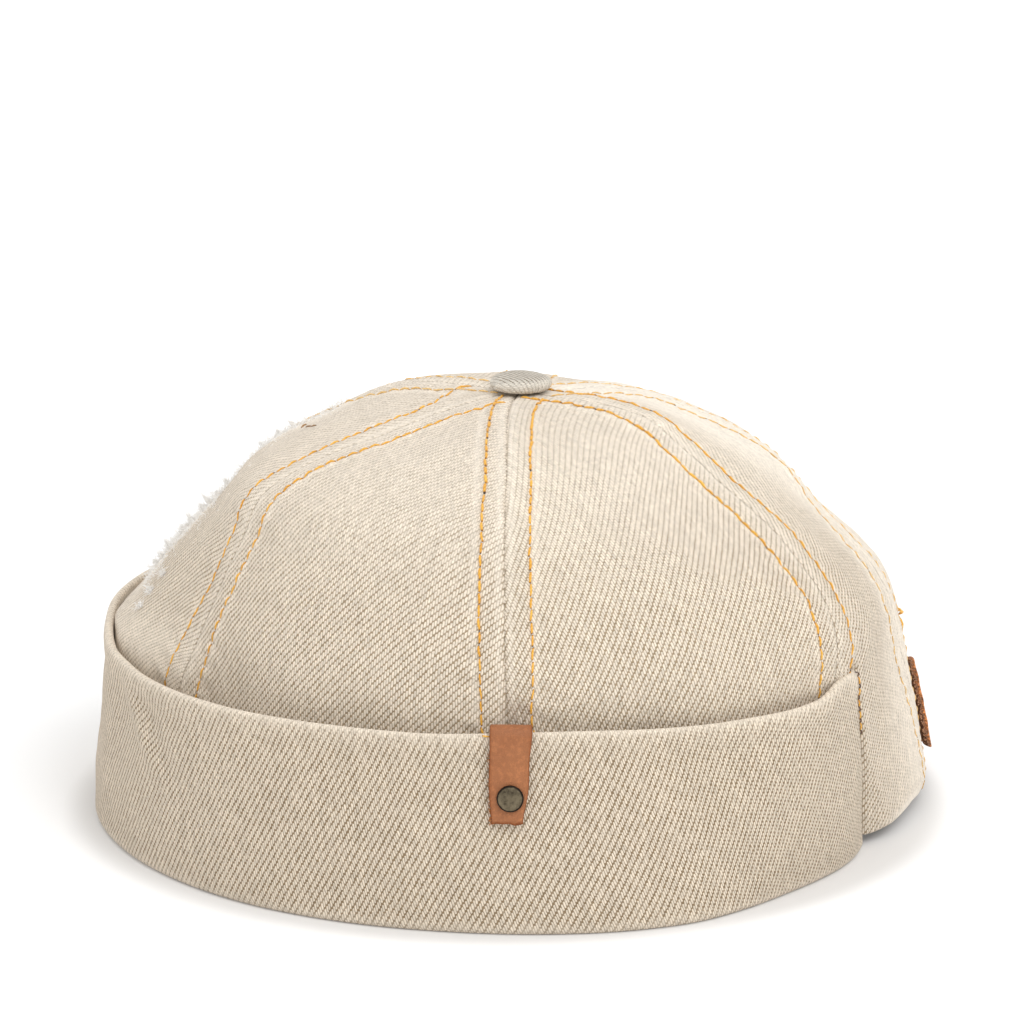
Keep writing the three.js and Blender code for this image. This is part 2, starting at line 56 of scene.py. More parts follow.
PANEL_WALL = 1.5
CUFF_WALL = 2.2
CLEARANCE = 0.3
EYE_RADIUS = 3.0  # the hole left at the crown's top for the button's stem

SEAM_NAMES = ("left_back", "left_front", "front", "right_front", "right_back", "back")
SEAM_AZIMUTHS = np.array([-120.0, -62, 0, 52, 105, 176])
CROWN_HEIGHTS = np.array([0, 18, 40, 58, 74, 87, 96, 101, 102.5])
CROWN_RADII = np.array([
    [100, 98, 96, 89.5, 102, 100],
    [97.5, 94, 92.5, 90, 98.5, 97],
    [94, 88.5, 89.5, 90.5, 92.4, 91],
    [88.5, 83, 85, 89.5, 86.8, 84],
    [73.5, 75, 76, 78.5, 70.6, 74],
    [58, 65.5, 63, 58, 59.6, 59.5],
    [42, 37, 45, 44.5, 41.5, 42],
    [27, 13.5, 24, 32, 23.5, 21],
    [0, 0, 0, 0, 0, 0],
], float)
# How far round each seam lies from its azimuth at those heights, in degrees.
SEAM_SHIFTS = np.array([
    [0, 0, 0, 0, -12, 0],
    [0, 0.2, -0.6, 0.8, -15, 0],
    [0, 0.4, -1.1, 1.5, -19, 0],
    [0, 0.6, -1.7, 2.2, -22, 0],
    [0, 0.7, -2.1, 2.8, -17, 0],
    [0, 0.8, -2.6, 3.3, -7, 0],
    [0, 0.9, -3.5, 3.7, 1, 0],
    [0, 1, -7.2, 3.9, 4, 0],
    [0, 1, -16, 4, 4, 0],
], float)
TOP_LEVEL = len(CROWN_HEIGHTS) - 1
# Soft hollows in the crown: azimuth, height, depth, width, tall. On the left it swells out
# to the cuff's edge, and again under the top.
CROWN_DENTS = (
    (-1, 33, 1.8, 12, 13), (-66, 66, 1.4, 12, 12), (78, 55, 2, 11, 20), (-85, 42, -9, 20, 7),
    (-112, 90, -4, 12, 5), (-110, 41, -8, 16, 6), (-98, 72, -1.2, 22, 14), (-103, 84, -1, 16, 8),
)
# Where the cloth has worn thin along the fray.
WORN_HOLLOWS = ((-101, 82, 1.7, 20, 8),)

# The cuff's outer face: azimuth, radius at the surface, radius at the top edge, its height.
CUFF_SECTIONS = np.array([
    [-158, 103, 102, 45], [-140, 104, 104.5, 45.5], [-120, 104, 105, 45.7],
    [-104, 103.8, 102.7, 45.8], [-85, 103.6, 100.6, 45.2], [-67, 102.6, 100.3, 44.5],
    [-53, 101.7, 99.3, 44.7], [-38, 101, 97.5, 44.9], [-23, 100.1, 96, 45.1],
    [-9, 99.6, 95.4, 45.3], [3, 100.1, 94.6, 45.9], [16, 100.6, 94.4, 45.9],
    [24, 100.1, 94.6, 45.4], [33, 97.3, 95, 44.9], [41, 94.7, 95.4, 44.7],
    [50, 93.1, 94.2, 44.4], [55, 92.4, 92.8, 44.6], [60, 91.3, 91.8, 46.4],
    [67, 88.8, 91, 46.8],
])
CUFF_DENTS = ((-70, 34, 1.6, 10, 12),)
CUFF_START = -158
CUFF_END_BASE, CUFF_END_TOP, CUFF_END_HEIGHT = 66.5, 59.5, 46.8
CUFF_FLANGE = 1.6  # the fold that lies under the crown's hem
CUFF_CORNER = 1.6

# The hem stands on the cuff's fold; past the cuff's ends it is bare, higher and rolled in.
HEM_ABOVE_FLANGE = 0.6
BARE_HEM_HEIGHT = 3.4
BARE_FADE = 16
HEM_ROLL, HEM_ROLL_HEIGHT = 0.8, 4

NO_SEAM = 20.0  # the distance to a seam, in millimetres, where there is none
MM_PER_DEGREE = 1.6  # round the cap, near its foot

# How uneven the cloth lies, as the size and height of its waves.
CROWN_WAVES, CROWN_WAVE_SEED = ((34, 0.42), (15, 0.16), (7, 0.05)), 11
CUFF_WAVES, CUFF_WAVE_SEED = ((42, 0.45), (17, 0.16), (8, 0.05)), 23
CROSSED_WAVES, WAVE_SPREAD = 7, 2.6


# ---------------------------------------------------------------- curves and surfaces


def hermite(a, b, slope_a, slope_b, t):
    """A smooth curve from a to b with these slopes at its ends."""
    t2, t3 = t * t, t * t * t
    return ((2 * t3 - 3 * t2 + 1) * a + (t3 - 2 * t2 + t) * slope_a
            + (3 * t2 - 2 * t3) * b + (t3 - t2) * slope_b)


def along_rows(values, level):
    """A smooth curve through values at 0, 1, 2 ..."""
    i = np.clip(np.floor(level).astype(int), 0, len(values) - 2)
    slopes = np.gradient(values, axis=0)
    t = level - i
    if values.ndim > 1:
        t = t[..., None]
    return hermite(values[i], values[i + 1], slopes[i], slopes[i + 1], t)


def through_knots(knots, values, x):
    """A smooth curve through unevenly spaced knots; values may differ from point to point."""
    x = np.clip(x, knots[0], knots[-1])
    i = np.clip(np.searchsorted(knots, x, side="right") - 1, 0, len(knots) - 2)
    span = np.diff(knots)
    rise = np.diff(values, axis=-1) / span
    middle = (rise[..., :-1] * span[1:] + rise[..., 1:] * span[:-1]) / (span[1:] + span[:-1])
    slopes = np.concatenate([rise[..., :1], middle, rise[..., -1:]], -1)

    def pick(table, k):
        if table.ndim == 1:
            return table[k]
        return np.take_along_axis(table, k[..., None], -1)[..., 0]

    width = span[i]
    return hermite(pick(values, i), pick(values, i + 1), width * pick(slopes, i),
                   width * pick(slopes, i + 1), (x - knots[i]) / width)


def turned(azimuth):
    """The same direction as degrees from -180 to 180."""
    return np.mod(azimuth + 180, 360) - 180


def smooth_step(x, low, high):
    t = np.clip((x - low) / (high - low), 0, 1)
    return t * t * (3 - 2 * t)


def between(x, rise, fall):
    """1 between two smooth edges, each given by where it starts and ends."""
    return smooth_step(x, *rise) * (1 - smooth_step(x, *fall))


def bell(x, width):
    """1 at zero, fading to almost nothing at twice the width."""
    return np.exp(-((x / width) ** 2))


def around(azimuth, radius, z):
    """Points in millimetres from an azimuth, a distance from the axis and a height."""
    a = np.radians(azimuth)
    return np.stack([radius * np.sin(a), -radius * np.cos(a), z + 0 * radius], -1)


def dent_depth(dents, azimuth, radius, z):
    """How deep soft hollows press in; a negative depth is a swell."""
    total = 0
    for at, height, depth, width, tall in dents:
        across = np.radians(turned(azimuth - at)) * radius / width
        up = (z - height) / tall
        total = total + depth * np.exp(-(across * across + up * up) / 2)
    return total


def cuff_column(column, azimuth):
    return through_knots(CUFF_SECTIONS[:, 0], CUFF_SECTIONS[:, column], np.asarray(azimuth, float))


def cuff_outer(azimuth, z):
    base, top = cuff_column(1, azimuth), cuff_column(2, azimuth)
    radius = base + (top - base) * z / cuff_column(3, azimuth)
    return radius - dent_depth(CUFF_DENTS, azimuth, radius, z)


def cuff_end(z):
    """The azimuth of the cuff's visible end, which slants forward as it rises."""
    return CUFF_END_BASE + (CUFF_END_TOP - CUFF_END_BASE) * z / CUFF_END_HEIGHT


def cuff_limit(azimuth, z):
    """How far out the crown may reach where the cuff holds it in."""
    at = turned(azimuth)
    ends = np.maximum(at - cuff_end(z), CUFF_START - at)
    covered = np.clip(at, CUFF_START, cuff_end(z))
    height = cuff_column(3, covered)
    inside = cuff_outer(covered, np.minimum(z, height)) - CUFF_WALL - 2 * CLEARANCE
    # the crown swells out again over the top edge, and springs clear past the ends
    above = 0.9 * np.maximum(z - height - CLEARANCE, 0)
    past = 2.1 * smooth_step(ends, 0.2, 1.3) + 0.75 * np.maximum(ends - 0.4, 0)
    return inside + above + past


def crown_height(level):
    return along_rows(CROWN_HEIGHTS, np.asarray(level, float))


LEVELS = np.linspace(0, TOP_LEVEL, 4001)
LEVEL_HEIGHTS = crown_height(LEVELS)


def level_at_height(z):
    return np.interp(z, LEVEL_HEIGHTS, LEVELS)


def crown_radius(azimuth, level):
    """The undressed crown, held in by the cuff where that covers it."""
    azimuth, level = np.broadcast_arrays(np.asarray(azimuth, float), np.asarray(level, float))
    first = SEAM_AZIMUTHS[0]
    knots = np.concatenate([SEAM_AZIMUTHS[-1:] - 360, SEAM_AZIMUTHS, SEAM_AZIMUTHS[:2] + 360])
    at_seams = along_rows(CROWN_RADII, level)
    at_seams = np.concatenate([at_seams[..., -1:], at_seams, at_seams[..., :2]], -1)
    free = through_knots(knots, at_seams, first + np.mod(azimuth - first, 360))
    z = crown_height(level)
    free = free - dent_depth(CROWN_DENTS, azimuth, np.maximum(free, 1), z)
    limit = cuff_limit(azimuth, z)
    softness = 0.5
    blend = np.clip(0.5 + 0.5 * (limit - free) / softness, 0, 1)
    return limit + (free - limit) * blend - softness * blend * (1 - blend)


def bareness(azimuth):
    """0 where the cuff covers the hem, 1 where the hem is bare."""
    at = turned(azimuth)
    past = np.maximum(np.maximum(at - CUFF_END_BASE, CUFF_START - at), 0)
    return smooth_step(past, 0, BARE_FADE)


def hem_height(azimuth):
    folded = CUFF_FLANGE + HEM_ABOVE_FLANGE
    return folded + (BARE_HEM_HEIGHT - folded) * bareness(azimuth)


def crown_base(azimuth, level):
    """Points on the undressed crown, its bare hem rolled in a little."""
    z = crown_height(level)
    rolled = np.clip(1 - (z - hem_height(azimuth)) / HEM_ROLL_HEIGHT, 0, 1)
    radius = crown_radius(azimuth, level) - bareness(azimuth) * HEM_ROLL * rolled * rolled
    return around(azimuth, radius, z)


def crown_normal(azimuth, level):
    step = 0.03  # of a level, up and down; to the sides it is a degree
    along = crown_base(azimuth + 1, level) - crown_base(azimuth - 1, level)
    up = (crown_base(azimuth, np.minimum(level + step, TOP_LEVEL))
          - crown_base(azimuth, np.maximum(level - step, 0)))
    normal = np.cross(along, up)
    return normal / np.linalg.norm(normal, axis=-1, keepdims=True)


def seam_azimuth(index, level):
    turns, k = divmod(index, len(SEAM_AZIMUTHS))
    return 360 * turns + SEAM_AZIMUTHS[k] + along_rows(SEAM_SHIFTS[:, k], np.asarray(level, float))


# ---------------------------------------------------------------- relief along the seams

TOPSTITCH = 5.9  # from the seam to each row of topstitching
STITCH_PITCH = 3.0
SEAM_GROOVES = (0.2, 0.22, 0.5, 0.22, 0.15, 0.2)  # how deep each seam is pressed in
SEAM_BAND = 0.42  # how far the folded cloth between the two rows stands up


def seam_lengths(index):
    """Arc length up a seam, at each of LEVELS."""
    points = crown_base(seam_azimuth(index, LEVELS), LEVELS)
    return np.concatenate([[0], np.cumsum(np.linalg.norm(np.diff(points, axis=0), axis=-1))])


SEAM_LENGTHS = [seam_lengths(index) for index in range(len(SEAM_NAMES))]


def seam_relief(azimuth, level, radius):
    """The height of the cloth over the smooth crown: pressed seams, dips and puckers."""
    flat = smooth_step(radius, 7, 20)  # all but the pressed seams die out under the button
    total = 0
    for index, depth in enumerate(SEAM_GROOVES):
        off = np.radians(turned(azimuth - seam_azimuth(index, level))) * radius
        away, side = np.abs(off), np.sign(off)
        run = np.interp(level, LEVELS, SEAM_LENGTHS[index]) + 0.35 * off
        waves = 2 * math.pi * run
        uneven = 1 + 0.45 * np.sin(run / 5.3 + index) * np.sin(run / 2.1 + 2 * index)
        groove = depth * uneven * bell(off, 0.55)
        band = SEAM_BAND * (1 - smooth_step(away, 5.6, 7.6))
        dip = (0.22 + 0.12 * np.cos(waves / STITCH_PITCH)) * bell(away - TOPSTITCH, 0.7)
        wander = waves / 6.1 + 2.2 * np.sin(run / 9 + index) + side
        pucker = 0.2 * uneven * np.sin(wander) * bell(away - 8.2, 2.8)
        ripple = 0.1 * np.sin(waves / 4.3 + 1.7 * index + 2 * side) * bell(away - 3, 2)
        total = total + (band - dip + pucker + ripple) * flat - groove
    return total


def cloth_noise(points, sizes, seed):
    """Smooth seeded unevenness of about 1 at points in millimetres, from crossed waves."""
    rng = np.random.default_rng(seed)
    total = np.zeros(points.shape[:-1])
    for size, strength in sizes:
        for _ in range(CROSSED_WAVES):
            direction = rng.normal(size=3)
            direction *= 2 * math.pi / (size * np.linalg.norm(direction) * rng.uniform(0.8, 1.25))
            wave = np.sin(points @ direction + rng.uniform(0, 2 * math.pi))
            total += strength * wave / WAVE_SPREAD
    return total


def crown_surface(azimuth, level):
    """The dressed crown's outer skin and its normal."""
    azimuth, level = np.broadcast_arrays(np.asarray(azimuth, float), np.asarray(level, float))
    base = crown_base(azimuth, level)
    normal = crown_normal(azimuth, level)
    radius = np.hypot(base[..., 0], base[..., 1])
    lift = seam_relief(azimuth, level, radius)
    lift = lift - dent_depth(WORN_HOLLOWS, azimuth, radius, base[..., 2])
    lift = lift + cloth_noise(base, CROWN_WAVES, CROWN_WAVE_SEED) * smooth_step(radius, 5, 20)
    return base + normal * lift[..., None], normal


def crown_at_height(azimuth, z):
    return crown_surface(azimuth, level_at_height(z))


# ---------------------------------------------------------------- mesh helpers


def placed(points):
    """Millimetres round the axis, as metres in the row frame."""
    return (np.asarray(points) + np.array(AXIS)) * MM


def shown(obj):
    bpy.context.scene.collection.objects.link(obj)
    return obj


def piece(name, points, faces, material, uv, attributes, replaces=()):
    """A closed mesh from points round the axis, riding with the cap."""
    mesh = bpy.data.meshes.new(name)
    flat = placed(points).reshape(-1, 3)
    mesh.vertices.add(len(flat))
    mesh.vertices.foreach_set("co", flat.astype(np.float32).ravel())
    sizes = np.array([len(face) for face in faces])
    loops = np.fromiter((i for face in faces for i in face), np.int32, int(sizes.sum()))
    mesh.loops.add(len(loops))
    mesh.loops.foreach_set("vertex_index", loops)
    mesh.polygons.add(len(faces))
    starts = np.concatenate([[0], np.cumsum(sizes)[:-1]]).astype(np.int32)
    mesh.polygons.foreach_set("loop_start", starts)
    mesh.update(calc_edges=True)
    if uv is not None:
        layer = mesh.uv_layers.new(name="Cloth")
        layer.data.foreach_set("uv", np.asarray(uv, np.float32).reshape(-1, 2)[loops].ravel())
    for key, values in attributes.items():
        attribute = mesh.attributes.new(key, "FLOAT", "POINT")
        attribute.data.foreach_set("value", np.asarray(values, np.float32).ravel())
    shell = bmesh.new()
    shell.from_mesh(mesh)
    bmesh.ops.recalc_face_normals(shell, faces=shell.faces)
    shell.to_mesh(mesh)
    shell.free()
    mesh.polygons.foreach_set("use_smooth", np.ones(len(faces), bool))
    mesh.materials.append(material)
    obj = shown(bpy.data.objects.new(name, mesh))
    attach(obj, "root")
    if replaces:
        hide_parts(*replaces)
    return obj


def loop_faces(columns, count):
    """Quads between neighbouring closed loops of points."""
    a = np.arange(count)
    b = (a + 1) % count
    starts = count * np.arange(columns - 1)[:, None, None]
    quads = np.stack([a, b, b + count, a + count], -1) + starts
    return quads.reshape(-1, 4).tolist()


def polygon_caps(columns, count):
    """One face over each of the first and last loops."""
    return [list(range(count))[::-1], list(range((columns - 1) * count, columns * count))]


def ladder_caps(columns, count):
    """A ladder of quads over each of the first and last loops, which run up and back down."""
    faces = []
    for start, flip in ((0, True), ((columns - 1) * count, False)):
        for i in range(count // 2 - 1):
            quad = [start + i, start + i + 1, start + count - 2 - i, start + count - 1 - i]
            faces.append(quad[::-1] if flip else quad)
    return faces


def run_lengths(points, axis):
    """Distance along a grid of points in one direction, from its first row or column."""
    step = np.linalg.norm(np.diff(points, axis=axis), axis=-1)
    shape = list(step.shape)
    shape[axis] = 1
    return np.concatenate([np.zeros(shape), np.cumsum(step, axis=axis)], axis)


def on_grain(across, along, degrees):
    """Cloth coordinates in metres, turned so that the warp runs at this angle."""
    c, s = math.cos(math.radians(degrees)), math.sin(math.radians(degrees))
    return np.stack([across * c + along * s, along * c - across * s], -1) * MM


TINY = 1e-12
SKEW = (0.31, 0.52, 0.79)  # a direction that no thread runs in
PLY_LOBES = 0.18


def tube(path, radius, sides, twist=0.0):
    """A closed thread along a path of points, round or two-ply."""
    tangent = np.gradient(path, axis=0)
    tangent /= np.linalg.norm(tangent, axis=-1, keepdims=True) + TINY
    side = np.cross(tangent[0], SKEW)
    radius = np.broadcast_to(radius, (len(path),))
    angle = np.arange(sides) * 2 * math.pi / sides
    rings = []
    for k, (point, ahead) in enumerate(zip(path, tangent)):
        side = side - ahead * (side @ ahead)
        side = side / (np.linalg.norm(side) + TINY)
        up = np.cross(ahead, side)
        lobes = 1 + (PLY_LOBES * np.cos(2 * (angle - twist * k)) if twist else 0)
        spokes = np.cos(angle)[:, None] * side + np.sin(angle)[:, None] * up
        rings.append(point + (radius[k] * lobes)[..., None] * spokes)
    count = len(path)
    return np.concatenate(rings), loop_faces(count, sides) + polygon_caps(count, sides)


def threads(name, parts, material):
    """One piece from many threads, each with points, faces and how dark each point is."""
    faces, offset = [], 0
    for points, thread_faces, _ in parts:
        faces.extend([[i + offset for i in face] for face in thread_faces])
        offset += len(points)
    points, dark = (np.concatenate([part[k] for part in parts]) for k in (0, 2))
    return piece(name, points, faces, material, None, {"wear": dark})


# ---------------------------------------------------------------- shader helpers


def linear(code, alpha=True):
    """A colour code such as d9cbb0 as linear light."""
    parts = [int(code[i:i + 2], 16) / 255 for i in (0, 2, 4)]
    parts = [p / 12.92 if p <= 0.04045 else ((p + 0.055) / 1.055) ** 2.4 for p in parts]
    return (*parts, 1.0) if alpha else tuple(parts)


class Wire:
    """A shader socket; sums and products of wires add Math nodes."""

    def __init__(self, look, socket):
        self.look, self.socket = look, socket

    def math(self, operation, *others):
        return self.look.math(operation, self, *others)

    def __add__(self, other): return self.math("ADD", other)
    def __sub__(self, other): return self.math("SUBTRACT", other)
    def __mul__(self, other): return self.math("MULTIPLY", other)
    def __truediv__(self, other): return self.math("DIVIDE", other)
    def __rsub__(self, other): return self.look.math("SUBTRACT", other, self)
    __radd__ = __add__
    __rmul__ = __mul__


class Look:
    """A material being made."""

    def __init__(self, name):
        self.material = bpy.data.materials.new(name)
        self.material.use_nodes = True
        self.tree = self.material.node_tree
        self.tree.nodes.clear()

    def node(self, kind, settings=None, sockets=None):
        made = self.tree.nodes.new("ShaderNode" + kind)
        for key, value in (settings or {}).items():
            if key == "stops":
                ramp = made.color_ramp
                while len(ramp.elements) > len(value):
                    ramp.elements.remove(ramp.elements[-1])
                while len(ramp.elements) < len(value):
                    ramp.elements.new(1)
                for element, (position, colour) in zip(ramp.elements, value):
                    element.position, element.color = position, colour
            else:
                setattr(made, key, value)
        for key, value in (sockets or {}).items():
            if isinstance(value, Wire):
                self.tree.links.new(value.socket, made.inputs[key])
            else:
                made.inputs[key].default_value = value
        return made

    def wire(self, kind, output=0, settings=None, sockets=None):
        return Wire(self, self.node(kind, settings, sockets).outputs[output])

    def math(self, operation, *values):
        return self.wire("Math", 0, {"operation": operation}, dict(enumerate(values)))

    def clamped(self, value, low, high, new_low=0.0, new_high=1.0):
        return self.wire("MapRange", 0, {"interpolation_type": "SMOOTHSTEP"},
                         {"Value": value, "From Min": low, "From Max": high,
                          "To Min": new_low, "To Max": new_high})

    def mixed(self, factor, a, b):
        return self.wire("Mix", 2, {"data_type": "RGBA"}, {0: factor, 6: a, 7: b})

    def tinted(self, colour, by):
        """A colour times a number, as a colour."""
        return self.wire("VectorMath", 0, {"operation": "SCALE"}, {0: colour, "Scale": by})

    def noise(self, vector, scale, detail=2.0, roughness=0.5, output=0):
        return self.wire("TexNoise", output, None, {"Vector": vector, "Scale": scale,
                                                    "Detail": detail, "Roughness": roughness})

    def white_noise(self, *seed):
        return self.wire("TexWhiteNoise", 0, None, {"Vector": self.vector(*seed)})

    def place(self):
        return self.wire("TexCoord", "Object")

    def vector(self, *parts):
        return self.wire("CombineXYZ", 0, None, dict(enumerate(parts)))

    def parts(self, vector):
        """A vector's three numbers."""
        split = self.node("SeparateXYZ", None, {0: vector})
        return [Wire(self, output) for output in split.outputs]

    def attribute(self, name):
        """A number stored at each point of the mesh."""
        return self.wire("Attribute", "Fac", {"attribute_name": name})

    def distance(self, a, b):
        return self.wire("VectorMath", 1, {"operation": "DISTANCE"}, {0: a, 1: b})

    def ramp(self, factor, *stops):
        """A colour ramp; each stop is a position and a colour code."""
        stops = [(position, linear(code)) for position, code in stops]
        return self.wire("ValToRGB", 0, {"stops": stops}, {"Fac": factor})

    def bump(self, height, distance):
        sockets = {"Height": height, "Distance": distance, "Strength": 1.0}
        return self.wire("Bump", 0, None, sockets)

    def surface(self, sockets):
        shader = self.node("BsdfPrincipled", None, sockets)
        self.node("OutputMaterial", None, {"Surface": Wire(self, shader.outputs[0])})
        return self.material


# ---------------------------------------------------------------- materials

SMUDGE_PLACE = (0.0022, -0.0905, 0.0492)  # brownish, beside the front seam, above the tab
WARP_PITCH = 0.60
WEFT_PITCH = 0.65


def twill(name, light, gap, pale_rubbed_and_lit):
    """Two-over-one twill, drawn yarn by yarn on the cloth coordinates, with painted shade in the
    hollows between yarns.
    """
    look = Look(name)
    place = look.place()
    # worn holds real rubbing together with painted light: paler over the crown's top and right
    # side, low on its left behind the cuff, and inside the cuff
    worn, seam = look.attribute("wear"), look.attribute("seam")
    turn = 2 * math.pi

    # the cloth coordinates, a little uneven, counted in yarns
    cloth = look.wire("UVMap", 0, {"uv_map": "Cloth"})
    sway = look.noise(cloth, 55.0, 2.0)
    jitter = look.noise(cloth, 420.0, 1.0) - 0.5
    nudges = look.parts(look.noise(cloth, 1150.0, 1.0, output=1))
    x, y, _ = look.parts(cloth)
    x = x + (sway - 0.5) * 0.0011 + jitter * 0.00022 + (nudges[0] - 0.5) * 0.0003
    y = y + (sway - 0.5) * 0.0007 + jitter * 0.00022 + (nudges[1] - 0.5) * 0.00055
    across = x / (WARP_PITCH * MM)
    along = y / (WEFT_PITCH * MM)

    # a warp yarn floats over two wefts and dives under one, a step further on each yarn
    yarn = look.math("FLOOR", across)
    centred = (across - yarn) * 2 - 1
    step = (along - yarn) / 3
    floats = 0.5 - look.math("COSINE", step * turn) * 0.5
    valley = 0.5 - look.math("COSINE", (along - across + 0.5) * (turn / 3)) * 0.5
    lifted = look.clamped(floats, 0.03, 0.40) * 0.62 + look.clamped(valley, 0.0, 0.34) * 0.38
    weft_centred = look.math("FRACT", along + 0.5) * 2 - 1
    warp_height = (1 - centred * centred) * (lifted * 0.94 + 0.06)
    height = look.math("MAXIMUM", warp_height, (1 - weft_centred * weft_centred) * 0.14)

    # each float, yarn and crossing has its own tone
    float_tone = look.white_noise(yarn, look.math("FLOOR", step), 0.0)
    cross_depth = look.white_noise(yarn, look.math("FLOOR", step + 0.5), 7.0)
    nap = look.white_noise(yarn, look.math("FLOOR", along * 1.5), 3.0)
    slub = look.noise(look.vector(yarn * 0.731, along * 0.011, 0.0), 3.0, 1.0)
    patches = look.noise(place, 26.0, 3.0)
    fine = look.noise(place, 1500.0, 2.0)
    # painted shade: the hollows between yarns are darkened towards the gap colour, less where the
    # cloth is paler
    sunk_shade = (1 - look.clamped(height, 0.04, 0.66)) * (0.72 + cross_depth * 0.5) * (1 - worn * 0.75)
    shade = look.mixed(look.clamped(sunk_shade, 0.0, 1.0), linear(light), linear(gap))
    # the pale colour stands for rubbed cloth, and for painted light where the mask stands in for
    # light
    shade = look.mixed(worn * 0.75, shade, linear(pale_rubbed_and_lit))
    tone = 1 + (slub - 0.5) * 0.22 + (patches - 0.5) * 0.10 + (fine - 0.5) * 0.16
    shade = look.tinted(shade, tone + (float_tone - 0.5) * 0.12 + (nap - 0.5) * 0.16)

    # painted shade in the pressed seams, the smudge, and rare orange and brown flecks of husk
    crease = look.clamped(look.noise(place, 1100.0, 1.0), 0.40, 0.62)
    crease = crease * (1 - look.clamped(seam, 0.03, 0.36))
    shade = look.mixed(crease * 0.6, shade, linear("6d5c44"))
    smudge = 1 - look.clamped(look.distance(place, SMUDGE_PLACE), 0.001, 0.0065)
    smudge = smudge * look.clamped(slub + fine - 0.5, 0.2, 0.7)
    shade = look.mixed(smudge * 0.6, shade, linear("6b4e36"))
    flecks = look.node("TexVoronoi", {"feature": "F1"}, {"Vector": place, "Scale": 95.0})
    spot = 1 - look.clamped(Wire(look, flecks.outputs["Distance"]), 0.012, 0.030)
    rare = look.parts(Wire(look, flecks.outputs["Color"]))
    orange = spot * look.clamped(rare[0], 0.86, 0.88)
    husk = spot * look.clamped(rare[1], 0.95, 0.96)
    colour = look.mixed(orange * 0.55, shade, linear("b0763a"))
    colour = look.mixed(husk * 0.85, colour, linear("3b3226"))
    bumps = height * (1 - worn * 0.5) + (fine - 0.5) * 0.3
    return look.surface({"Base Color": colour, "Roughness": 0.92,
                         "Normal": look.bump(bumps, 0.00015), "Sheen Weight": 0.12,
                         "Sheen Roughness": 0.5, "Specular IOR Level": 0.25})


def thread_look(name, tones):
    """Spun two-ply thread, with painted shade between its plies and where it dives into the cloth.
    """
    look = Look(name)
    place = look.place()
    vary = look.noise(place, 260.0, 2.0)
    fibre = look.noise(place, 2600.0, 1.0)
    # the stored value is painted shade on stitches, and a random tone on loose fibres
    sunk_shade = look.attribute("wear") + (vary - 0.5) * 0.5
    colour = look.tinted(look.ramp(sunk_shade, *zip((0.0, 0.4, 0.75, 1.0), tones)), 0.88 + fibre * 0.24)
    return look.surface({"Base Color": colour, "Roughness": 0.6,
                         "Normal": look.bump(fibre, 0.00008), "Sheen Weight": 0.2})


def tanned_leather(name, light, dark, edge):
    """Smooth veg-tanned leather with fine grain, a mottled face and burnished cut edges."""
    look = Look(name)
    place = look.place()
    clouds = look.noise(place, 120.0, 4.0, 0.6)
    grain = look.node("TexVoronoi", {"feature": "DISTANCE_TO_EDGE"},
                      {"Vector": place, "Scale": 1900.0})
    cells = look.clamped(Wire(look, grain.outputs["Distance"]), 0.0, 0.12)
    fine = look.noise(place, 4200.0, 2.0)
    pebbles = look.noise(place, 1050.0, 2.0, 0.6)
    face = look.mixed(look.clamped(clouds, 0.3, 0.7), linear(dark), linear(light))
    # the pebbles lighten the colour: partly grain tone, partly a painted highlight on each pebble
    tone = 0.84 + cells * 0.08 + fine * 0.06 + look.clamped(pebbles, 0.45, 0.7) * 0.22
    colour = look.mixed(look.attribute("wear"), look.tinted(face, tone), linear(edge))
    height = cells * 0.6 + fine * 0.4 + clouds * 0.5 + pebbles * 0.8
    return look.surface({"Base Color": colour, "Normal": look.bump(height, 0.00007),
                         "Roughness": look.clamped(clouds, 0.2, 0.8, 0.42, 0.6),
                         "Specular IOR Level": 0.4})


def antique_brass(name):
    """Blackened brass, paler and darker in patches, and darker round its rim."""
    look = Look(name)
    place = look.place()
    patina = look.noise(place, 700.0, 5.0, 0.65)
    pits = look.noise(place, 3200.0, 2.0)
    dark = look.clamped(patina + look.attribute("wear") * 0.6, 0.34, 0.86)
    return look.surface({"Base Color": look.mixed(dark, linear("776c57"), linear("231b14")),
                         "Metallic": 0.85,
                         "Roughness": look.clamped(patina, 0.3, 0.7, 0.3, 0.55),
                         "Normal": look.bump(patina + pits * 0.5, 0.00005)})


def frayed_cotton(name):
    """Bleached white cotton fluff with a painted glow, its emission standing in for the light it
    lets through.
    """
    look = Look(name)
    fibre = look.noise(look.place(), 800.0, 2.0)
    colour = look.tinted(linear("f4f1ec", False), 0.86 + fibre * 0.16)
    # the emission is a painted glow
    return look.surface({"Base Color": colour, "Roughness": 0.9, "Sheen Weight": 0.3,
                         "Emission Color": linear("f4f1ee"), "Emission Strength": 0.1})


def cut_leather(name):
    """Brown leather, tan along its cut edges, with a rough brown core where it is cut across."""
    look = Look(name)
    place = look.place()
    cut, layer = look.attribute("wear"), look.attribute("layer")
    clouds = look.noise(place, 120.0, 4.0, 0.6)
    fibres = look.noise(place, 1700.0, 3.0, 0.7)
    streaks = look.clamped(fibres, 0.36, 0.64)
    face = look.mixed(look.clamped(clouds, 0.3, 0.7), linear("9a5a30"), linear("bd7844"))
    core = look.ramp(layer * 0.85 + streaks * 0.4 - 0.1,
                     (0.0, "94684a"), (0.18, "4a2e1c"), (0.44, "5d3a25"), (0.55, "bd9376"),
                     (0.66, "6c4229"), (0.8, "7c4c2f"), (0.93, "c6804d"), (1.0, "d08b57"))
    colour = look.tinted(look.mixed(cut, face, core), 1 + (streaks - 0.5) * (0.25 + cut * 0.4))
    height = fibres * (0.4 + cut * 1.6) + clouds * 0.4
    return look.surface({"Base Color": colour, "Normal": look.bump(height, 0.00012),
                         "Roughness": look.clamped(cut, 0, 1, 0.5, 0.85),
                         "Specular IOR Level": 0.35})


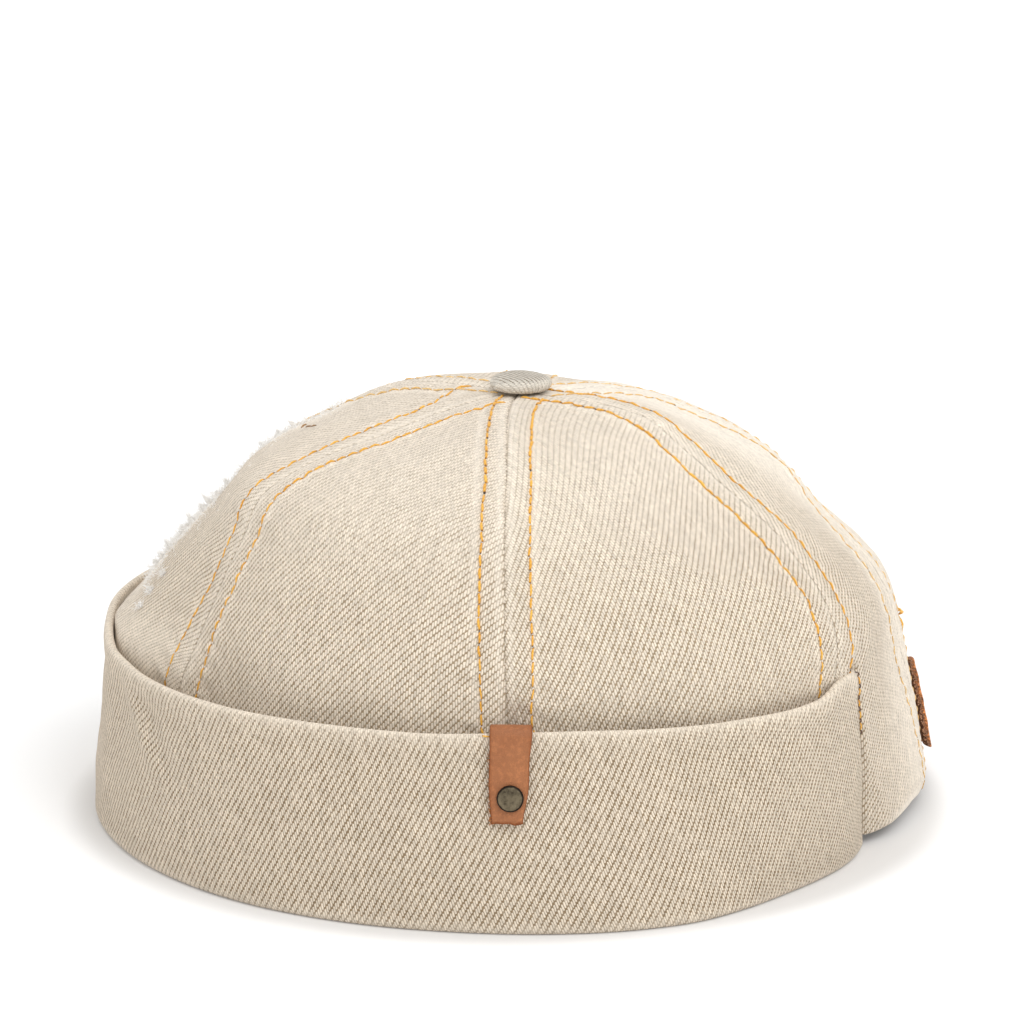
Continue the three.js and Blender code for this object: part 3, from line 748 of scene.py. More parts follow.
CROWN_TWILL = twill("ecru_twill", "e3d6c5", "9a886e", "ede4d6")
# the cuff's twill is a darker, warmer copy of the crown's, with a deeper gap colour: painted shade
# on the cuff
CUFF_TWILL = twill("cuff_ecru_twill", "dfd1be", "87745a", "e7dccc")
BUTTON_TWILL = twill("button_grey_twill", "dbd4c8", "766854", "dfd9ce")
GOLD_THREAD = thread_look("golden_thread", ("f0bf52", "de9f30", "a56d1e", "2c1c0e"))
# a paler copy of the golden thread for the back seams; on the right back it is painted light
PALE_THREAD = thread_look("pale_golden_thread", ("efd29a", "e0b467", "b9863f", "5a4022"))
TAN_THREAD = thread_look("tan_thread", ("b08a58", "946c42", "6a4a28", "4a3420"))
BROWN_THREAD = thread_look("brown_thread", ("6a4428", "4a2c17", "2a1a10", "140d08"))
TAB_LEATHER = tanned_leather("tan_leather", "a86b42", "9a5f38", "8a4a1c")
LEATHER_FIBRE = thread_look("leather_fibre", ("d08a3e", "b46a2a", "7c4018", "3c2010"))
STRAP_LEATHER = cut_leather("strap_leather")
BRASS = antique_brass("antique_brass")
COTTON = frayed_cotton("frayed_cotton")


# ---------------------------------------------------------------- crown panels


def eye_level(azimuth):
    """The level at which the crown's radius comes down to the eye, at each azimuth."""
    low, high = np.full_like(azimuth, TOP_LEVEL - 1.0), np.full_like(azimuth, float(TOP_LEVEL))
    for _ in range(30):
        middle = (low + high) / 2
        inside = crown_radius(azimuth, middle) < EYE_RADIUS
        low, high = np.where(inside, low, middle), np.where(inside, middle, high)
    return low


STRAIGHT = 1e-4  # the least bend of a row, which keeps it from being divided by nothing


def gore_cloth(base, middle, grain):
    """Cloth coordinates of a panel laid flat, each row an arc about the panel's own apex."""
    v = run_lengths(base[:, middle], 0)[:, None]
    radius = np.hypot(base[:, middle, 0], base[:, middle, 1])
    bend = -np.gradient(radius) / np.gradient(v[:, 0]) / radius
    reach = 18
    weights = bell(np.arange(-reach, reach + 1), 7.0)
    bend = np.convolve(np.pad(bend, reach, "edge"), weights / weights.sum(), "valid")[:, None]
    bend = np.where(np.abs(bend) < STRAIGHT, STRAIGHT, bend)
    u = run_lengths(base, 1)
    u = u - u[:, middle:middle + 1]
    return on_grain(np.sin(bend * u) / bend, v + (1 - np.cos(bend * u)) / bend, grain)


# The worn line up the left of the crown: azimuth and height, from the bottom.
FRAY_LINE = np.array([
    [-92, 47.5], [-94, 51], [-97, 57], [-98.5, 64], [-99, 70], [-99.5, 76], [-101, 81],
    [-103.5, 86], [-107, 90], [-112, 93.5],
])


def fray_azimuth(z):
    return np.interp(z, FRAY_LINE[:, 1], FRAY_LINE[:, 0])


def near_fray(azimuth, radius, z):
    """1 on the worn line, fading to 0 a little way off it."""
    off = np.radians(turned(azimuth - fray_azimuth(z))) * radius
    return bell(off, np.where(off > 0, 6.5, 6.0)) * between(z, (48, 56), (93, 97))


def crown_wear_and_painted_light(azimuth, radius, z, seam):
    """Where the crown is paler: rubbed on the seams' ridges and along the fray, and painted light
    over the top, down the right side and low on the left behind the cuff's edge.
    """
    ridge = 0.25 * bell(seam - 6.9, 0.9) + 0.22 * bell(seam - 1.3, 0.8)
    # the seams' ridges are rubbed; the paling towards the top is painted light
    wear = ridge * smooth_step(z, 30, 55) + 0.36 * smooth_step(z, 62, 99)
    # painted light: the right side is paler where bright light falls on it
    wear = wear + 0.62 * between(azimuth, (68, 88), (130, 150))
    # painted light: paler low on the left behind the cuff's edge, to lift the shade there
    painted_light_behind_cuff = (1 - smooth_step(z, 47, 56)) * between(azimuth, (-112, -100), (-66, -50))
    return wear + 0.9 * near_fray(azimuth, radius, z) + 0.26 * painted_light_behind_cuff


def crown_panel(name, node, index, columns, rows, grain):
    """One gore between two seams: its skin, the turned hem, the inside and the seam edges."""
    turn = 2 * math.pi
    share = np.linspace(0, 1, columns)[None, :]
    across = share - 0.75 * np.sin(turn * share) / turn  # the columns lie closer at the seams

    def azimuth_at(level):
        left, right = seam_azimuth(index, level), seam_azimuth(index + 1, level)
        return left * (1 - across) + right * across

    low_azimuth = azimuth_at(np.full((1, columns), 0.1))[0]
    high_azimuth = azimuth_at(np.full((1, columns), float(TOP_LEVEL)))[0]
    hem = level_at_height(hem_height(low_azimuth) + PANEL_WALL / 2)
    eye = eye_level(high_azimuth)
    middle = seam_azimuth(index, 4.0) * 0.5 + seam_azimuth(index + 1, 4.0) * 0.5
    trial = np.linspace(hem.mean(), eye.mean(), 600)
    runs = run_lengths(crown_base(middle, trial), 0)
    even = np.interp(np.linspace(0, runs[-1], rows), runs, trial)
    even = (even - trial[0]) / (trial[-1] - trial[0])
    level = hem[None, :] + (eye - hem)[None, :] * even[:, None]
    azimuth = azimuth_at(level)
    outer, normal = crown_surface(azimuth, level)
    base = crown_base(azimuth, level)
    inside = np.unique(np.append(np.arange(0, rows, 3), rows - 1))
    inner = (base - normal * PANEL_WALL)[inside]

    # the turned hem
    centre, half = (outer[0] + inner[0]) / 2, (outer[0] - inner[0]) / 2
    down = outer[0] - outer[1]
    down /= np.linalg.norm(down, axis=-1, keepdims=True)
    size = np.linalg.norm(half, axis=-1, keepdims=True)
    turns = [centre + half * math.cos(a) + down * size * math.sin(a)
             for a in np.linspace(0, math.pi, 8)[1:-1]]
    ring = np.concatenate([outer[::-1], np.stack(turns), inner])
    count = len(ring)
    cloth = gore_cloth(base, columns // 2, grain)
    below = np.stack([cloth[0] - [0, MM * 0.35 * (k + 1)] for k in range(len(turns))])
    uv = np.swapaxes(np.concatenate([cloth[::-1], below, cloth[inside]]), 0, 1)

    radius = np.hypot(base[..., 0], base[..., 1])
    seam = np.minimum(*(np.abs(np.radians(azimuth - seam_azimuth(side, level)) * radius)
                        for side in (index, index + 1)))
    hem_edge = 0.8 * bell(run_lengths(outer, 0), 1.6) * bareness(low_azimuth)[None, :]
    wear = np.clip(hem_edge + crown_wear_and_painted_light(azimuth, radius, base[..., 2], seam), 0, 1)

    def all_round(values, hidden):
        under = np.repeat(values[:1], len(turns), 0)
        return np.concatenate([values[::-1], under, np.full((len(inside), columns), hidden)]).T

    # the two seam edges are closed by a polygon over the hem and one between each inner pair
    faces = loop_faces(columns, count)
    inner_start = rows + len(turns)
    for start in (0, (columns - 1) * count):
        faces.append([start + k for k in range(rows - 1, inner_start + 1)])
        for k, (low, high) in enumerate(zip(inside, inside[1:])):
            skin = [rows - 1 - j for j in range(low, high + 1)]
            faces.append([start + i for i in skin + [inner_start + k + 1, inner_start + k]])
    return piece(name, np.swapaxes(ring, 0, 1), faces, CROWN_TWILL, uv,
                 {"wear": all_round(wear, 0.0), "seam": all_round(seam, NO_SEAM)}, [node])


# Each panel's piece and node, its first seam, its columns and rows, and its grain in degrees.
PANELS = (
    ("twill_left", "crown_panel_left", 0, 150, 190, 12),
    ("twill_front_left", "crown_panel_front_left", 1, 150, 190, 5),
    ("twill_front_right", "crown_panel_front_right", 2, 140, 190, 12),
    ("twill_right", "crown_panel_right", 3, 120, 190, 6),
    ("twill_back_right", "crown_panel_back_right", 4, 150, 150, 0),
    ("twill_back_left", "crown_panel_back_left", 5, 130, 150, 0),
)
for panel in PANELS:
    crown_panel(*panel)


# ---------------------------------------------------------------- cuff


# A soft fold that slants down from the top edge at the left.
CUFF_FOLD = {"azimuth": -71, "top": 46, "drop": 21, "slant": 13, "radius": 101}


def cuff_surface(azimuth, z):
    """The dressed cuff's outer face and its normal."""
    azimuth, z = np.broadcast_arrays(np.asarray(azimuth, float), np.asarray(z, float))

    def at(a, h):
        return around(a, cuff_outer(a, h), h)

    base = at(azimuth, z)
    normal = np.cross(at(azimuth + 0.5, z) - at(azimuth - 0.5, z),
                      at(azimuth, z + 0.4) - at(azimuth, z - 0.4))
    normal /= np.linalg.norm(normal, axis=-1, keepdims=True)
    below_top = cuff_column(3, azimuth) - z
    calm = smooth_step(z, 0, 7) * (0.4 + 0.6 * smooth_step(below_top, 0, 8))
    lift = cloth_noise(base, CUFF_WAVES, CUFF_WAVE_SEED) * calm
    edge = 0.25 * bell(below_top - 3.2, 1.8) - 0.2 * bell(below_top - 7, 2.2)
    down = (CUFF_FOLD["top"] - z) / CUFF_FOLD["drop"]
    crest = CUFF_FOLD["azimuth"] + CUFF_FOLD["slant"] * down
    off = np.radians(azimuth - crest) * CUFF_FOLD["radius"]
    fold = 0.9 * bell(off, 4) - 0.7 * bell(off - 8, 5)
    fold = fold * (1 - smooth_step(down, 0.7, 1.4)) * smooth_step(below_top, 1, 9)
    return base + normal * (lift + edge + fold)[..., None], normal


def cuff_band():
    """The band's section, swept from its hidden start to its visible end."""
    columns, wall_rows, arc_rows, corner_rows = 460, 52, 12, 8
    half = CUFF_WALL / 2
    share = np.linspace(0, 1, columns)[None, :]

    def azimuth_at(z):
        return CUFF_START + (cuff_end(z) - CUFF_START) * share

    shoulder = cuff_column(3, azimuth_at(0.0)) - half
    rows = []

    def add(radius, z, azimuth):
        rows.append(around(azimuth, radius, z + 0 * azimuth))

    def under_hem(z):
        level = level_at_height(CUFF_FLANGE + HEM_ABOVE_FLANGE)
        return crown_radius(azimuth_at(z), level) - PANEL_WALL - CLEARANCE

    for t in np.linspace(0, 1, 5)[:-1]:
        a = azimuth_at(0.0)
        add(under_hem(0.0) * (1 - t) + (cuff_outer(a, 0) - CUFF_CORNER) * t, 0.0, a)
    for t in np.linspace(0, math.pi / 2, corner_rows)[:-1]:
        z = CUFF_CORNER * (1 - math.cos(t))
        a = azimuth_at(z)
        add(cuff_outer(a, z) - CUFF_CORNER * (1 - math.sin(t)), z, a)
    for t in np.linspace(0, 1, wall_rows):
        z = CUFF_CORNER + (shoulder - CUFF_CORNER) * t
        rows.append(cuff_surface(azimuth_at(z), z)[0])
    crest = len(rows) - 1
    last, normal = cuff_surface(azimuth_at(shoulder), shoulder)
    for t in np.linspace(0, math.pi, arc_rows + 2)[1:-1]:
        rows.append(last - normal * half * (1 - math.cos(t)) + np.array([0, 0, half]) * math.sin(t))
    for t in np.linspace(1, 0, wall_rows // 2):
        z = CUFF_CORNER + (shoulder - CUFF_CORNER) * t
        outer, out = cuff_surface(azimuth_at(z), z)
        rows.append(outer - out * CUFF_WALL)
    for t in np.linspace(0, 1, 5):
        a = azimuth_at(CUFF_FLANGE)
        start = cuff_outer(a, CUFF_FLANGE) - CUFF_WALL - half / 2
        add(start * (1 - t) + under_hem(CUFF_FLANGE) * t, CUFF_FLANGE, a)
    ring = np.stack([row.reshape(columns, 3) for row in rows])

    # the visible end is rounded over towards the crown behind it
    near_end = (1 - share[0]) * (CUFF_END_BASE - CUFF_START) * MM_PER_DEGREE
    thin = 1 - np.sqrt(np.clip(1 - np.clip(1 - near_end / 1.8, 0, 1) ** 2, 0, 1))
    radial = ring * [1, 1, 0]
    radial /= np.linalg.norm(radial, axis=-1, keepdims=True)
    outer_rows = np.arange(len(ring)) <= crest + arc_rows
    ring = ring - radial * (1.5 * thin[None, :, None]) * outer_rows[:, None, None]

    along = run_lengths(ring, 0)
    top = along[crest + arc_rows // 2]
    spread = np.broadcast_to(np.radians(azimuth_at(0.0)) * 98.5, ring.shape[:2])
    lean = np.radians(8 - 14 * smooth_step(azimuth_at(0.0), 30, 64))
    across = spread + (along - top.mean() / 2) * np.tan(lean)
    uv = np.stack([across, along - spread * math.tan(math.radians(8))], -1) * MM

    # rubbed along both edges and at the corner, paler near the visible end, and paler all over its
    # inside: painted light that lifts the shade between the cuff and the crown
    wear = 0.4 * bell(along - top, 1.5) + 0.15 * bell(along - top, 5.0)
    wear = wear + 0.3 * bell(along - along[corner_rows], 1.6)
    wear = wear + 0.35 * bell(near_end[None, :], 6.0) * bell(along - top, 9.0)
    wear = np.clip(wear + 0.8 * ~outer_rows[:, None], 0, 1)
    faces = loop_faces(columns, len(ring)) + ladder_caps(columns, len(ring))
    return piece("twill_cuff", np.swapaxes(ring, 0, 1), faces, CUFF_TWILL,
                 np.swapaxes(uv, 0, 1), {"wear": wear.T, "seam": np.full(wear.T.shape, NO_SEAM)},
                 ["cuff"])


cuff_band()


# ---------------------------------------------------------------- button

BUTTON_RADIUS, BUTTON_HEIGHT, BUTTON_LIFT = 7.3, 3.5, 0.3
BUTTON_FINENESS, BUTTON_GRAIN = 1.25, 78
AT_AXIS = 0.02  # as near to its axis as a turned piece's points come


def covered_button():
    """Twill drawn over a padded blank and gathered under its rim, on a clinched stem."""
    under = CROWN_HEIGHTS[-1] + BUTTON_LIFT
    inside = CROWN_HEIGHTS[-1] - PANEL_WALL - CLEARANCE - BUTTON_LIFT
    rim_height = 1.5
    waist = under + rim_height
    clinch, stem = 4.8, 1.1
    profile = [(AT_AXIS, inside - 0.8), (clinch, inside - 0.8 - BUTTON_LIFT),
               (clinch, inside - BUTTON_LIFT), (stem, inside), (stem, under),
               (BUTTON_RADIUS - 2.2, under)]
    for a in np.linspace(-math.pi / 2, 0, 10)[1:-1]:
        profile.append((BUTTON_RADIUS - 1.5 * (1 - math.cos(a)), waist + 1.45 * math.sin(a)))
    for a in np.linspace(0, math.pi / 2, 34)[:-1]:
        rise = (BUTTON_HEIGHT - rim_height) * math.sin(a) ** 0.8
        profile.append((BUTTON_RADIUS * math.cos(a) ** 0.5, waist + rise))
    profile.append((AT_AXIS, under + BUTTON_HEIGHT))
    radius, z = np.array(profile).T[:, :, None]
    sides = 128
    turns = np.linspace(0, 2 * math.pi, sides + 1)[:-1]
    rim = bell(radius - BUTTON_RADIUS, 1.3) * (z > under - 0.1) * (z < waist + 1)
    gathered = radius + 0.13 * np.sin(17 * turns + 1.3 * np.sin(3 * turns)) * rim
    slump = 0.15 * np.sin(2 * turns + 0.8) * (z > waist) * (radius / BUTTON_RADIUS)
    points = np.stack([gathered * np.sin(turns), -gathered * np.cos(turns), z + slump], -1)
    arc = run_lengths(points, 0)
    arc = (arc[-1:] - arc) * BUTTON_FINENESS
    uv = on_grain(arc * np.sin(turns), -arc * np.cos(turns), BUTTON_GRAIN)
    wear = np.broadcast_to(0.5 * bell(radius - BUTTON_RADIUS, 0.8), arc.shape)
    faces = loop_faces(len(profile), sides) + polygon_caps(len(profile), sides)
    return piece("twill_button", points, faces, BUTTON_TWILL, uv,
                 {"wear": wear, "seam": np.full(wear.shape, NO_SEAM)}, ["button"])


covered_button()


# ---------------------------------------------------------------- leather tab and rivet

# The tab hangs to its bottom outside the cuff and to its rear inside it.
TAB = {"azimuth": -0.7, "width": 9.3, "bottom": 25.8, "rear": 27.5, "gap": 0.4, "leather": 1.5}
RIVET_HEIGHT = 31.6


def at_tab(across, out, z):
    """A point in the tab's upright frame, as a point round the axis."""
    a = math.radians(TAB["azimuth"])
    across, out = np.asarray(across, float), np.asarray(out, float)
    x = across * math.cos(a) + out * math.sin(a)
    y = across * math.sin(a) - out * math.cos(a)
    return np.stack([x, y, z + 0 * x], -1)


def tab_face(z):
    """How far out the cuff's face stands behind the tab."""
    a = math.radians(TAB["azimuth"])
    return float(cuff_surface(TAB["azimuth"], z)[0][..., :2] @ [math.sin(a), -math.cos(a)])


def leather_tab():
    """A strip folded over the cuff's edge, with slightly uneven hand-cut sides."""
    half_wall = CUFF_WALL / 2
    shoulder = float(cuff_column(3, TAB["azimuth"])) - half_wall
    middle = tab_face(shoulder) - half_wall
    bend = half_wall + TAB["gap"]
    line = [(tab_face(z) + TAB["gap"], z) for z in np.linspace(TAB["bottom"], shoulder, 26)[:-1]]
    line += [(middle + bend * math.cos(a), shoulder + bend * math.sin(a))
             for a in np.linspace(0, math.pi, 19)]
    line += [(tab_face(z) - CUFF_WALL - TAB["gap"], z)
             for z in np.linspace(shoulder, TAB["rear"], 22)[1:]]
    line = np.array(line)
    tangent = np.gradient(line, axis=0)
    tangent /= np.linalg.norm(tangent, axis=-1, keepdims=True)
    out = np.stack([tangent[:, 1], -tangent[:, 0]], -1)
    run = run_lengths(line, 0)
    half = TAB["width"] / 2
    rng = np.random.default_rng(5)
    sway = [0.16 * np.sin(run / s + rng.uniform(0, 6))
            + 0.10 * np.sin(run / (s * 0.37) + rng.uniform(0, 6)) for s in (6.0, 7.3)]

    # its section: across, how far through from the inside, and whether it is a cut edge
    sides, corner = 14, 0.34
    flat = half - corner
    arc = np.linspace(math.pi / 2, -math.pi / 2, 8)[1:-1]
    section = [(t * flat, 1.0, 0.0) for t in np.linspace(-1, 1, sides)]
    section += [(flat + corner * math.cos(a), 0.5 + 0.5 * math.sin(a), 1.0) for a in arc]
    section += [(t * flat, 0.0, 0.0) for t in np.linspace(1, -1, sides)]
    section += [(-flat - corner * math.cos(a), 0.5 - 0.5 * math.sin(a), 1.0) for a in arc]

    points, cuts, uvs = [], [], []
    for k, (point, normal) in enumerate(zip(line, out)):
        end = min(run[k], run[-1] - run[k])
        thin = 1 - 0.35 * bell(end, 0.5)
        foot = bell(run[k], 6.0)
        hanging = smooth_step(line[k, 1], 46, 40)
        for across, depth, cut in section:
            side = sway[0][k] if across > 0 else sway[1][k]
            drawn_in = (1.1 * foot + 0.4) if across > 0 else -0.3 * foot
            x = across + (side - drawn_in * hanging) * abs(across) / half
            belly = 0.22 * math.cos(x / half * math.pi / 2) * bell(run[k] - 9, 8)
            crease = 0.3 * bell(x - 2.9, 1.1) * bell(run[k] - 12, 7)
            off = TAB["leather"] * (0.5 + (depth - 0.5) * thin) + (belly - crease) * depth
            torn = 0.3 * math.sin(4.1 * x + 1) * math.sin(1.7 * x) + 0.12 * math.sin(11 * x)
            base = point + normal * off
            points.append(at_tab(x, base[0], base[1] + torn * bell(run[k], 0.8)))
            cuts.append(max(cut, bell(end, 0.35), 0.5 * bell(half - abs(x), 0.5)))
            uvs.append((x * MM, run[k] * MM))
    faces = loop_faces(len(line), len(section)) + polygon_caps(len(line), len(section))
    return piece("folded_leather_tab", points, faces, TAB_LEATHER, uvs,
                 {"wear": cuts}, ["leather_tab"])


leather_tab()


def tab_fibres():
    """Loose fibres along the tab's left cut edge, thickest near its foot."""
    rng = np.random.default_rng(9)
    parts = []
    steps = np.linspace(0, 1, 4)
    for _ in range(130):
        z = TAB["bottom"] + 16 * rng.uniform(0, 1) ** 1.7
        across = -TAB["width"] / 2 + 0.2 + 0.3 * bell(z - TAB["bottom"], 6)
        out = tab_face(z) + TAB["gap"] + rng.uniform(0.1, 1.3)
        start = at_tab(across, out, z)
        end = at_tab(across - rng.uniform(0.2, 0.75), out + rng.normal(0, 0.15),
                     z + rng.normal(0, 0.45))
        bow = rng.normal(0, 0.12, 3)
        path = start + (end - start) * steps[:, None] + bow * np.sin(math.pi * steps)[:, None]
        points, faces = tube(path, 0.07 * (1 - 0.4 * steps), 3)
        parts.append((points, faces, np.full(len(points), rng.uniform(0, 0.7))))
    return threads("tab_edge_fibres", parts, LEATHER_FIBRE)


tab_fibres()


def brass_rivet():
    """A domed cap with a rolled rim, its post and the flat cap inside."""
    seat = TAB["gap"] + TAB["leather"] + 0.25
    inner_seat = -CUFF_WALL - TAB["gap"] - TAB["leather"] - 0.15
    inner_cap, post = 2.4, 1.1
    profile = [(AT_AXIS, inner_seat - 0.6), (inner_cap - 0.2, inner_seat - 0.6),
               (inner_cap, inner_seat - 0.45), (inner_cap, inner_seat), (post, inner_seat),
               (post, seat), (2.8, seat)]
    profile += [(2.62 + 0.44 * math.cos(a), seat + 0.44 + 0.44 * math.sin(a))
                for a in np.linspace(-1.2, 1.35, 14)]
    profile += [(2.7 * math.cos(a), seat + 0.80 + 0.42 * math.sin(a))
                for a in np.linspace(0.3, math.pi / 2, 14)[:-1]]
    profile.append((AT_AXIS, seat + 1.22))
    radius, out = np.array(profile).T[:, :, None]
    sides = 64
    turns = np.linspace(0, 2 * math.pi, sides + 1)[:-1]
    side, up = radius * np.cos(turns), radius * np.sin(turns)
    lean = math.atan2(tab_face(RIVET_HEIGHT - 5) - tab_face(RIVET_HEIGHT + 5), 10)
    distance = tab_face(RIVET_HEIGHT) + out * math.cos(lean) - up * math.sin(lean)
    height = RIVET_HEIGHT + out * math.sin(lean) + up * math.cos(lean)
    rim = smooth_step(radius, 2.55, 2.95) * (out >= seat)
    faces = loop_faces(len(profile), sides) + polygon_caps(len(profile), sides)
    return piece("antique_rivet", at_tab(side, distance, height), faces, BRASS,
                 None, {"wear": np.broadcast_to(rim, side.shape)}, ["rivet"])


brass_rivet()


# ---------------------------------------------------------------- back strap

STRAP = {"from": 94, "to": 188, "bottom": 12.6, "top": 33, "seat": 0.3, "thickness": 2.0,
         "drop": 5, "drop over": (94, 106)}


def back_strap():
    """A leather band across the back that follows the crown, with uneven square-cut ends."""
    columns, rows, edge_rows = 150, 26, 6
    share = (np.linspace(0, 1, columns) ** 1.15)[:, None]
    arc = np.linspace(0, math.pi, edge_rows + 2)[1:-1]
    section = [(t, 1.0) for t in np.linspace(0, 1, rows)]
    section += [(1 + 0.03 * math.sin(a), 0.5 + 0.5 * math.cos(a)) for a in arc]
    section += [(t, 0.0) for t in np.linspace(1, 0, rows)]
    section += [(-0.03 * math.sin(a), 0.5 - 0.5 * math.cos(a)) for a in arc]
    up, depth = np.array(section).T[:, None, :]
    span = STRAP["to"] - STRAP["from"]
    near_end = bell(share * span * MM_PER_DEGREE, 1.2)
    ragged = 0.16 * np.sin(17 * up + 1) + 0.1 * np.sin(41 * up + 5 * depth) + 0.35 * (0.5 - depth)
    azimuth = STRAP["from"] + span * share + ragged * near_end
    drop = STRAP["drop"] * smooth_step(azimuth, *STRAP["drop over"])
    tip = 1.1 * near_end * depth * smooth_step(0.12 - up, 0, 0.12)
    z = STRAP["bottom"] + (STRAP["top"] - STRAP["bottom"]) * up - drop - tip
    level = level_at_height(z)
    base, normal = crown_base(azimuth, level), crown_normal(azimuth, level)
    swell = 0.12 * np.sin(23 * up + 2) * near_end * depth
    points = base + normal * (STRAP["seat"] + STRAP["thickness"] * depth + swell)[..., None]

    # each end is closed by a ladder of quads between its faces and a polygon at each edge
    count = len(section)
    faces = loop_faces(columns, count)
    side = rows + edge_rows
    last = side + rows - 1
    top_edge = list(range(rows - 1, side + 1))
    bottom_edge = list(range(last, count)) + [0]
    for start, flip in ((0, True), ((columns - 1) * count, False)):
        ends = [[i, i + 1, last - 1 - i, last - i] for i in range(rows - 1)]
        for ring in ends + [top_edge, bottom_edge]:
            faces.append([start + k for k in (ring[::-1] if flip else ring)])

    end = np.minimum(share, 1 - share) * 150
    edge = ((depth > 0) & (depth < 1)) * 0.7
    wear = np.maximum(bell(end, 0.5) + 0 * up, edge)
    uv = np.stack([np.radians(azimuth) * 95, z], -1) * MM
    return piece("leather_back_strap", points, faces, STRAP_LEATHER, uv,
                 {"wear": wear, "layer": depth + 0 * end}, ["back_strap"])


back_strap()


# ---------------------------------------------------------------- stitching


def row_place(index, side, run, offset):
    """The azimuth and level beside a seam, straight on past the crown's middle at the top."""
    level = np.interp(run, SEAM_LENGTHS[index], LEVELS)
    seam = seam_azimuth(index, level)
    radius = np.maximum(crown_radius(seam, level), 1.0)
    azimuth = seam + side * np.degrees(np.arctan2(offset, radius))
    outward = (np.hypot(radius, offset) - radius) * (1 - smooth_step(radius, 18, 34))
    goal = crown_radius(azimuth, level) + outward
    for _ in range(3):
        here = crown_radius(azimuth, level)
        slope = (crown_radius(azimuth, level + 0.01) - here) / 0.01
        level = level + (goal - here) / np.minimum(slope, -2)
        level = np.clip(level, 0, TOP_LEVEL - 0.02)
        goal = np.where(radius > 34, crown_radius(azimuth, level), goal)
    return azimuth, level


STITCH_SIDES, STITCH_POINTS, PLY_TWIST = 8, 13, 0.85


def stitch(path, width, rng):
    """One thread stitch whose ends dive into the cloth, and how much painted shade each point gets:
    at its ends and between its plies.
    """
    t = np.linspace(0, 1, len(path))
    points, faces = tube(path, width * (0.8 + 0.2 * np.sin(math.pi * t)), STITCH_SIDES, PLY_TWIST)
    depth = rng.uniform(0.45, 0.9, 2)
    if rng.random() < 0.12:
        depth[rng.integers(2)] = 1.6
    # painted shade: dark where each end dives into the cloth and in the grooves between the plies
    ends = np.clip(1 - 5.5 * t, 0, 1) * depth[0] + np.clip(5.5 * t - 4.5, 0, 1) * depth[1]
    angle = np.arange(STITCH_SIDES) * 2 * math.pi / STITCH_SIDES
    twist = PLY_TWIST * np.arange(len(path))[:, None]
    between_plies = 0.5 - 0.5 * np.cos(2 * (angle[None, :] - twist))
    sunk_shade = (ends + rng.uniform(0, 0.22))[:, None] + 0.34 * between_plies
    return points, faces, np.clip(sunk_shade, 0, 1).ravel()


# The thickness of each seam's thread, and how far off each seam its two rows lie at the
# bottom and at the top.
ROW_WIDTHS = (0.2, 0.24, 0.32, 0.3, 0.17, 0.18)
ROW_OFFSETS = {(2, -1): (TOPSTITCH, 4.8), (2, 1): (6.0, 5.6)}
FIRST_STITCH, LAST_STITCH_RADIUS = 3.6, 3.5
# Paler thread on the back seams; on the right back this is painted light for the bright light
# there.
PALE_THREAD_SEAMS = ("right_back", "back", "left_back")


def stitch_row(index, side):
    """One row of topstitching beside a seam, from the hem up to the button."""
    low, high = ROW_OFFSETS.get((index, side), (TOPSTITCH, TOPSTITCH))
    runs = SEAM_LENGTHS[index]
    radii = np.hypot(*crown_base(seam_azimuth(index, LEVELS), LEVELS)[:, :2].T)
    last = runs[np.searchsorted(-radii, -LAST_STITCH_RADIUS)]
    rng = np.random.default_rng(100 + 2 * index + (side > 0))
    t = np.linspace(0, 1, STITCH_POINTS)
    rise = -0.18 + 0.36 * np.sin(math.pi * t) ** 0.5
    parts, start, sway = [], FIRST_STITCH, 0.0
    while start < last - STITCH_PITCH:
        pitch = STITCH_PITCH * rng.uniform(0.93, 1.07)
        run = start + np.linspace(0, pitch * rng.uniform(0.88, 0.96), STITCH_POINTS)
        next_sway = sway * 0.7 + rng.normal(0, 0.13)
        offset = low + (high - low) * smooth_step(run / last, 0.3, 0.85)
        offset = offset + sway + (next_sway - sway) * t
        offset = offset + 0.08 * np.sin(math.pi * t) * rng.normal()
        offset = offset + rng.uniform(0.05, 0.3) * (t - 0.5)
        skin, normal = crown_surface(*row_place(index, side, run, offset))
        fine = 1 - 0.2 * smooth_step(run / last, 0.75, 0.3) + rng.uniform(-0.17, 0.17)
        parts.append(stitch(skin + normal * rise[:, None], ROW_WIDTHS[index] * fine, rng))
        start += pitch
        sway = next_sway
    return parts


for seam_index, seam_name in enumerate(SEAM_NAMES):
    thread = PALE_THREAD if seam_name in PALE_THREAD_SEAMS else GOLD_THREAD
    rows_of_stitches = stitch_row(seam_index, -1) + stitch_row(seam_index, 1)
    threads("topstitch_" + seam_name, rows_of_stitches, thread)


def short_threads(surface, width, rng, *places):
    """Threads on a surface, each from one azimuth and height to another, and its rise."""
    t = np.linspace(0, 1, 11)[:, None]
    parts = []
    for first, last, lift in places:
        place = np.array(first) * (1 - t) + np.array(last) * t
        skin, normal = surface(place[:, 0], place[:, 1])
        rise = -0.1 + lift * np.sin(math.pi * t) ** 0.6
        parts.append(stitch(skin + normal * rise, width, rng))
    return parts


TACK = {"top": 45.4, "bottom": 33, "inset": 0.45}


